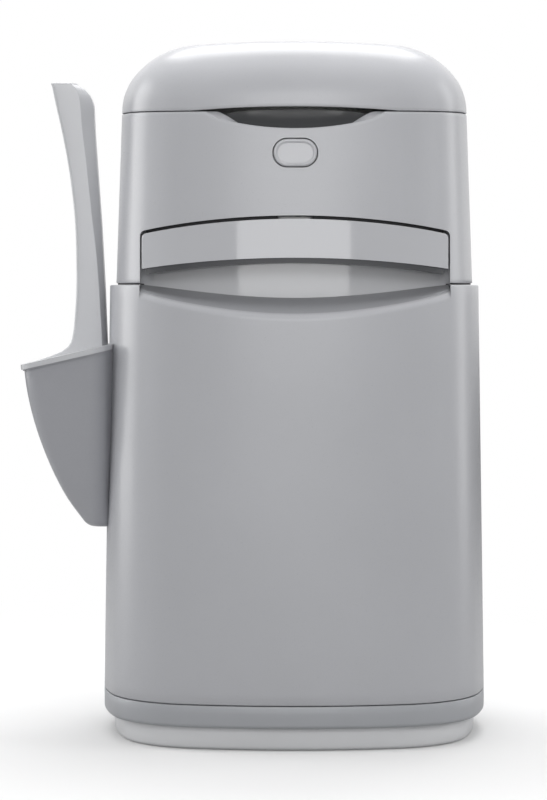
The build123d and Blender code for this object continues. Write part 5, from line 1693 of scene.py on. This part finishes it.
@dataclass
class Scoop:
    """Scoop that stands in the holder: slotted basket below, plate over the rim and a tall creased handle."""

    half: float = 14.0
    chamfer: float = 7.0
    foot: float = 222.0
    rest: float = 0.3
    plate: float = 1.7
    plate_end_x: float = -112.0
    plate_clear: float = 0.8
    lip: float = 0.7
    lip_gap: float = 0.2
    lip_drop: float = 1.6
    open_x: float = -123.4
    clear: float = 1.2
    skin: float = 2.0
    slot_wide: float = 5.0
    slot_long: float = 32.0
    slot_pitch: float = 9.0
    rows: tuple[HandleRow, ...] = (
        HandleRow(408.0, -153.4, -143.5, -141.0),
        HandleRow(407.4, -153.1, -141.0, -137.6),
        HandleRow(406.0, -152.3, -138.4, -134.6),
        HandleRow(403.5, -151.8, -136.6, -131.4),
        HandleRow(400.1, -151.2, -135.4, -128.7),
        HandleRow(395.1, -150.1, -134.6, -126.8),
        HandleRow(390.0, -149.0, -134.1, -126.4),
        HandleRow(379.9, -146.7, -133.4, -126.0),
        HandleRow(359.8, -142.8, -131.0, -124.7),
        HandleRow(339.6, -139.9, -128.9, -123.3),
        HandleRow(319.4, -138.0, -126.8, -121.9),
        HandleRow(299.3, -137.4, -124.5, -120.8),
        HandleRow(279.1, -137.4, -123.0, -119.8),
        HandleRow(258.9, -138.6, -121.8, -119.0),
        HandleRow(248.9, -139.9, -121.3, -118.6),
        HandleRow(243.8, -141.6, -121.1, -118.4),
        HandleRow(240.4, -144.6, -121.0, -118.3),
        HandleRow(237.4, -150.6, -121.0, -118.3),
        HandleRow(234.4, -159.5, -121.0, -118.3),
        HandleRow(231.6, -166.2, -121.0, -118.3),
        HandleRow(222.0, -167.0, -121.0, -118.3),
    )

    def build(self, holder: ScoopHolder) -> None:
        """Joins handle, plate and basket.

        Args:
            holder: the cup whose form the basket and the plate follow.
        """
        scoop = finish_mesh(self.handle_form(), "scoop_moulding")
        carve(scoop, self.above(holder, self.rest), Cut.KEEP)
        carve(scoop, self.plate_form(holder), Cut.JOIN)
        carve(scoop, self.basket_form(holder), Cut.JOIN)
        dress(scoop, "scoop", Finish.SCOOP_PP, ["scoop"], 24.0)

    def row_at(self, level: float) -> HandleRow:
        """Blends the outline rows smoothly at a level."""
        rows = self.rows
        number = next(index for index in range(len(rows) - 1) if level >= rows[index + 1].level or index == len(rows) - 2)
        upper, lower = rows[number], rows[number + 1]
        above, below = rows[max(number - 1, 0)], rows[min(number + 2, len(rows) - 1)]
        span = upper.level - lower.level
        t = min(max((level - lower.level) / span, 0.0), 1.0)

        def blend(name: str) -> float:
            p0, p1, p2, p3 = (getattr(row, name) for row in (below, lower, upper, above))
            rise = (p2 - p0) / max(upper.level - below.level, span) * span
            fall = (p3 - p1) / max(above.level - lower.level, span) * span
            return hermite(p1, p2, rise, fall, t)

        return HandleRow(level, blend("left_x"), blend("crease_x"), blend("right_x"))

    def handle_form(self) -> bmesh.types.BMesh:
        """Lofts the handle from its foot to its flat top, with a soft edge round the top."""
        top = self.rows[0].level
        levels = [self.foot + (top - 14.0 - self.foot) * step / 60 for step in range(61)]
        levels += [top - 14.0 * math.cos(math.radians(90 * step / 16)) for step in range(1, 17)]
        rings = [(level, 0.0) for level in levels[:-2]]
        rings += [(top - 0.9, 0.0), (top - 0.35, 0.15), (top, 0.9)]
        bm = bmesh.new()
        edges: list[bmesh.types.BMEdge] = []
        for level, inset in rings:
            row = self.row_at(min(level, top - 0.9))
            cut = min(self.chamfer, self.half - 1)
            outline = rounded(
                [
                    (row.left_x + inset, -self.half + inset),
                    (row.crease_x, -self.half + inset),
                    (row.right_x - inset, -self.half + cut),
                    (row.right_x - inset, self.half - cut),
                    (row.crease_x, self.half - inset),
                    (row.left_x + inset, self.half - inset),
                ],
                [2.0, 0.6, 1.0, 1.0, 0.6, 2.0],
                6,
            )
            if not edges:
                made = bmesh.ops.create_circle(bm, segments=len(outline), radius=MM)
                layer = bm.verts.layers.int.new("station")
                verts = list(bm.verts)
                for number, vert in enumerate(verts):
                    vert[layer] = number
                edges = list(bm.edges)
                first = list(edges)
            else:
                made = bmesh.ops.extrude_edge_only(bm, edges=edges)["geom"]
                verts = [item for item in made if isinstance(item, bmesh.types.BMVert)]
                fresh = set(verts)
                edges = [e for e in made if isinstance(e, bmesh.types.BMEdge) and all(v in fresh for v in e.verts)]
            for vert in verts:
                vert.co = Vector((*outline[vert[layer]], level)) * MM
        bmesh.ops.contextual_create(bm, geom=first)
        bmesh.ops.contextual_create(bm, geom=edges)
        bmesh.ops.recalc_face_normals(bm, faces=bm.faces)
        return bm

    def above(self, holder: ScoopHolder, rise: float) -> bmesh.types.BMesh:
        """Makes the room above the rim's plane, lifted by a rise, as a tool."""
        near, far = -200.0, -90.0
        outline = [(near, holder.rim_level(near, rise)), (far, holder.rim_level(far, rise)), (far, 430.0), (near, 430.0)]
        return prism(outline, -90.0, 90.0)

    def clip(self, thing: bpy.types.Object, end_x: float) -> None:
        """Cuts a piece off at the side that faces the pail."""
        carve(thing, prism([(-200.0, 100.0), (end_x, 100.0), (end_x, 430.0), (-200.0, 430.0)], -90.0, 90.0), Cut.KEEP)

    def plate_form(self, holder: ScoopHolder) -> bmesh.types.BMesh:
        """Makes the plate that lies over the holder's rim."""
        grow = holder.bead + self.lip_gap
        top = self.rest + self.plate
        plate = finish_mesh(holder.form(-grow - self.lip, 200.0, lambda x: holder.rim_level(x, top)), "plate")
        carve(plate, self.above(holder, self.rest - self.lip_drop), Cut.KEEP)
        carve(plate, holder.form(-grow, 180.0, lambda x: holder.rim_level(x, self.rest)))
        carve(plate, holder.pail_side(self.plate_clear))
        self.clip(plate, self.plate_end_x)
        return taken_mesh(plate)

    def basket_form(self, holder: ScoopHolder) -> bmesh.types.BMesh:
        """Makes the basket: the holder's inner form, hollow, open to the pail's side and slotted."""
        outer = holder.wall + self.clear
        floor = holder.bottom + 2 * holder.wall
        basket = finish_mesh(holder.form(outer, floor, lambda x: holder.rim_level(x, self.rest + 0.4)), "basket")
        self.clip(basket, self.open_x)
        carve(basket, holder.form(outer + self.skin, floor + self.skin, lambda x: holder.rim_level(x, self.rest - 0.2)))
        slots = bmesh.new()
        for level, reach in ((205.0, 3), (165.0, 2)):
            for number in range(-reach, reach + 1):
                before = set(slots.edges)
                made = bmesh.ops.create_cube(slots, size=1.0)["verts"]
                bmesh.ops.scale(slots, verts=made, vec=(50 * MM, self.slot_wide * MM, self.slot_long * MM))
                bmesh.ops.translate(slots, verts=made, vec=(-160 * MM, number * self.slot_pitch * MM, level * MM))
                along = [e for e in slots.edges if e not in before and abs(e.verts[0].co.x - e.verts[1].co.x) > 0.01]
                bmesh.ops.bevel(
                    slots,
                    geom=along,
                    offset=self.slot_wide * 0.48 * MM,
                    segments=6,
                    profile=0.5,
                    affect="EDGES",
                    material=-1,
                )
        carve(basket, slots)
        return taken_mesh(basket)


# ---------------------------------------------------------------- inner parts


@dataclass
class InnerParts:
    """Parts that show when the head, the lid or the handle is open: their frame shapes with real finishes."""

    finishes: dict[str, Finish] = field(
        default_factory=lambda: {
            "handle_carriage": Finish.CARRIAGE_PA,
            "jaw_frame": Finish.CARRIAGE_PA,
            "latch_lever": Finish.CARRIAGE_PA,
            "funnel_deck": Finish.INNER_ABS,
            "gate_frame": Finish.INNER_ABS,
            "fixed_jaw": Finish.INNER_ABS,
            "button_guide": Finish.INNER_ABS,
            "lid_liner": Finish.INNER_ABS,
            "latch_keeper": Finish.INNER_ABS,
            "cutter_body": Finish.INNER_ABS,
            "cassette_body": Finish.CASSETTE_PP,
            "cassette_cover": Finish.CASSETTE_PP,
            "film_pack": Finish.BAG_FILM,
            "fixed_seal": Finish.SEAL_EPDM,
            "moving_seal": Finish.SEAL_EPDM,
            "lid_gasket": Finish.SEAL_EPDM,
            "base_screws": Finish.ZINC_STEEL,
            "gate_screws": Finish.ZINC_STEEL,
            "latch_pin": Finish.ZINC_STEEL,
            "head_hinge_pins": Finish.ZINC_STEEL,
            "lid_hinge_pins": Finish.ZINC_STEEL,
            "gate_springs": Finish.SPRING_STEEL,
            "button_spring": Finish.SPRING_STEEL,
            "cutter_blade": Finish.BLADE_STEEL,
        }
    )

    def build(self) -> None:
        """Gives each inner part its material."""
        for name, finish in self.finishes.items():
            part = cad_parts[name]
            part.data.materials.clear()
            part.data.materials.append(material_of(finish))
            log.info("%s: %s", name, finish.value.name)


# ---------------------------------------------------------------- studio


@dataclass(frozen=True)
class Softbox:
    """One rectangular studio lamp aimed at a point.

    Attributes:
        name: the lamp's place.
        at: position, m.
        aim: the point it faces, m.
        wide: width, m.
        tall: height, m.
        power: watts.
        mirrored: whether gloss shows it.
    """

    name: str
    at: tuple[float, float, float]
    aim: tuple[float, float, float]
    wide: float
    tall: float
    power: float
    mirrored: bool = False

    def build(self) -> None:
        """Hangs the lamp."""
        lamp = bpy.data.lights.new(self.name, "AREA")
        lamp.shape = "RECTANGLE"
        lamp.size = self.wide
        lamp.size_y = self.tall
        lamp.energy = self.power
        stand = bpy.data.objects.new(self.name, lamp)
        bpy.context.scene.collection.objects.link(stand)
        stand.location = self.at
        stand.visible_glossy = self.mirrored
        stand.rotation_euler = (Vector(self.aim) - Vector(self.at)).to_track_quat("-Z", "Y").to_euler()


@dataclass
class Studio:
    """White sweep, soft lamps and the camera."""

    lamps: tuple[Softbox, ...] = (
        Softbox("front_softbox", (0.0, -1.95, 0.72), (0.0, -0.1, 0.72), 1.1, 0.92, 11.5, True),
        Softbox("right_key", (0.5, -1.6, 1.0), (0.0, 0.0, 0.3), 0.7, 0.7, 3.2),
        Softbox("left_key", (-0.5, -1.6, 1.0), (0.0, 0.0, 0.3), 0.7, 0.7, 2.0),
        Softbox("right_softbox", (1.4, -0.4, 0.8), (0.0, 0.0, 0.25), 0.6, 0.9, 5.6),
        Softbox("top_softbox", (0.0, -0.1, 1.6), (0.0, 0.0, 0.4), 1.2, 1.2, 14.0),
        Softbox("rear_top_softbox", (0.0, 0.7, 1.5), (0.0, 0.0, 0.35), 1.2, 0.8, 13.0, True),
        Softbox("left_rim_softbox", (-1.4, 0.55, 0.6), (0.0, 0.0, 0.25), 0.8, 1.2, 9.0, True),
        Softbox("left_softbox", (-1.5, -0.35, 0.6), (0.0, 0.0, 0.25), 0.6, 1.0, 4.5),
        Softbox("right_rim_softbox", (1.4, 0.55, 0.6), (0.0, 0.0, 0.25), 0.5, 1.2, 4.0, True),
    )
    world_level: float = 0.03

    def build(self) -> None:
        """Sets the view transform, world, floor, lamps and camera."""
        scene = bpy.context.scene
        scene.view_settings.view_transform = "Standard"
        self.build_world()
        self.build_floor()
        for lamp in self.lamps:
            lamp.build()
        self.build_camera()

    def build_world(self) -> None:
        """Makes the world white to the camera and in mirrors, and a soft fill elsewhere."""
        world = bpy.data.worlds.new("studio")
        bpy.context.scene.world = world
        world.use_nodes = True
        tree = world.node_tree
        tree.nodes.clear()
        path = add_node(tree, "ShaderNodeLightPath")
        seen = add_node(
            tree,
            "ShaderNodeMath",
            {0: path.outputs["Is Camera Ray"], 1: path.outputs["Is Transmission Ray"]},
            operation="MAXIMUM",
        )
        fill = add_node(tree, "ShaderNodeBackground", {"Color": (1, 1, 1, 1), "Strength": self.world_level})
        white = add_node(tree, "ShaderNodeBackground", {"Color": (1, 1, 1, 1), "Strength": 1.0})
        mirrored = add_node(
            tree, "ShaderNodeMath", {0: seen.outputs["Value"], 1: path.outputs["Is Glossy Ray"]}, operation="MAXIMUM"
        )
        mix = add_node(
            tree,
            "ShaderNodeMixShader",
            {0: mirrored.outputs["Value"], 1: fill.outputs["Background"], 2: white.outputs["Background"]},
        )
        add_node(tree, "ShaderNodeOutputWorld", {"Surface": mix.outputs["Shader"]})

    def build_floor(self) -> None:
        """Makes a pale floor that fades to pure white away from the pail."""
        bm = bmesh.new()
        bmesh.ops.create_grid(bm, x_segments=8, y_segments=8, size=12.0)
        bmesh.ops.translate(bm, verts=bm.verts, vec=(0, 0, -0.0002))
        mesh = bpy.data.meshes.new("studio_floor")
        bm.to_mesh(mesh)
        bm.free()
        floor = bpy.data.objects.new("studio_floor", mesh)
        bpy.context.scene.collection.objects.link(floor)
        material = blank_material("painted_sweep_white")
        tree = material.node_tree
        place = object_coordinates(tree)
        reach = add_node(tree, "ShaderNodeVectorMath", {0: place}, operation="LENGTH")
        fade = add_node(
            tree,
            "ShaderNodeMapRange",
            {"Value": reach.outputs["Value"], "From Min": 0.2, "From Max": 0.75, "To Min": 0.12, "To Max": 1.0},
            interpolation_type="SMOOTHSTEP",
        )
        path = add_node(tree, "ShaderNodeLightPath")
        seen = add_node(
            tree, "ShaderNodeMath", {0: fade.outputs["Result"], 1: path.outputs["Is Camera Ray"]}, operation="MULTIPLY"
        )
        shade = add_node(
            tree,
            "ShaderNodeMix",
            {0: path.outputs["Is Camera Ray"], 6: linear("bcbcbc"), 7: linear("eeeeee")},
            data_type="RGBA",
        )
        paint = add_node(tree, "ShaderNodeBsdfDiffuse", {"Color": shade.outputs[2]})
        white = add_node(tree, "ShaderNodeEmission", {"Color": (1, 1, 1, 1), "Strength": 1.0})
        mix = add_node(
            tree, "ShaderNodeMixShader", {0: seen.outputs["Value"], 1: paint.outputs["BSDF"], 2: white.outputs["Emission"]}
        )
        add_node(tree, "ShaderNodeOutputMaterial", {"Surface": mix.outputs["Shader"]})
        floor.data.materials.append(material)

    def build_camera(self) -> None:
        """Places the camera level with the head's seam, a little to the left."""
        camera = bpy.data.cameras.new("camera")
        camera.lens = 129.9
        camera.sensor_width = 36.0
        camera.clip_end = 60.0
        stand = bpy.data.objects.new("camera", camera)
        bpy.context.scene.collection.objects.link(stand)
        stand.location = (-0.0131, -1.833, 0.281)
        stand.rotation_euler = (math.radians(90 - 2.28), 0.0, 0.0)
        bpy.context.scene.camera = stand


def main() -> None:
    """Builds every sub-assembly in order."""
    head = Head()
    pail = Pail()
    Base().build()
    pail.build()
    head.build()
    Lid().build()
    Recess().build(pail)
    PullHandle().build(head, pail)
    Button().build(head)
    holder = ScoopHolder()
    holder.build()
    Scoop().build(holder)
    InnerParts().build()
    Studio().build()


if __name__ == "__main__":
    main()
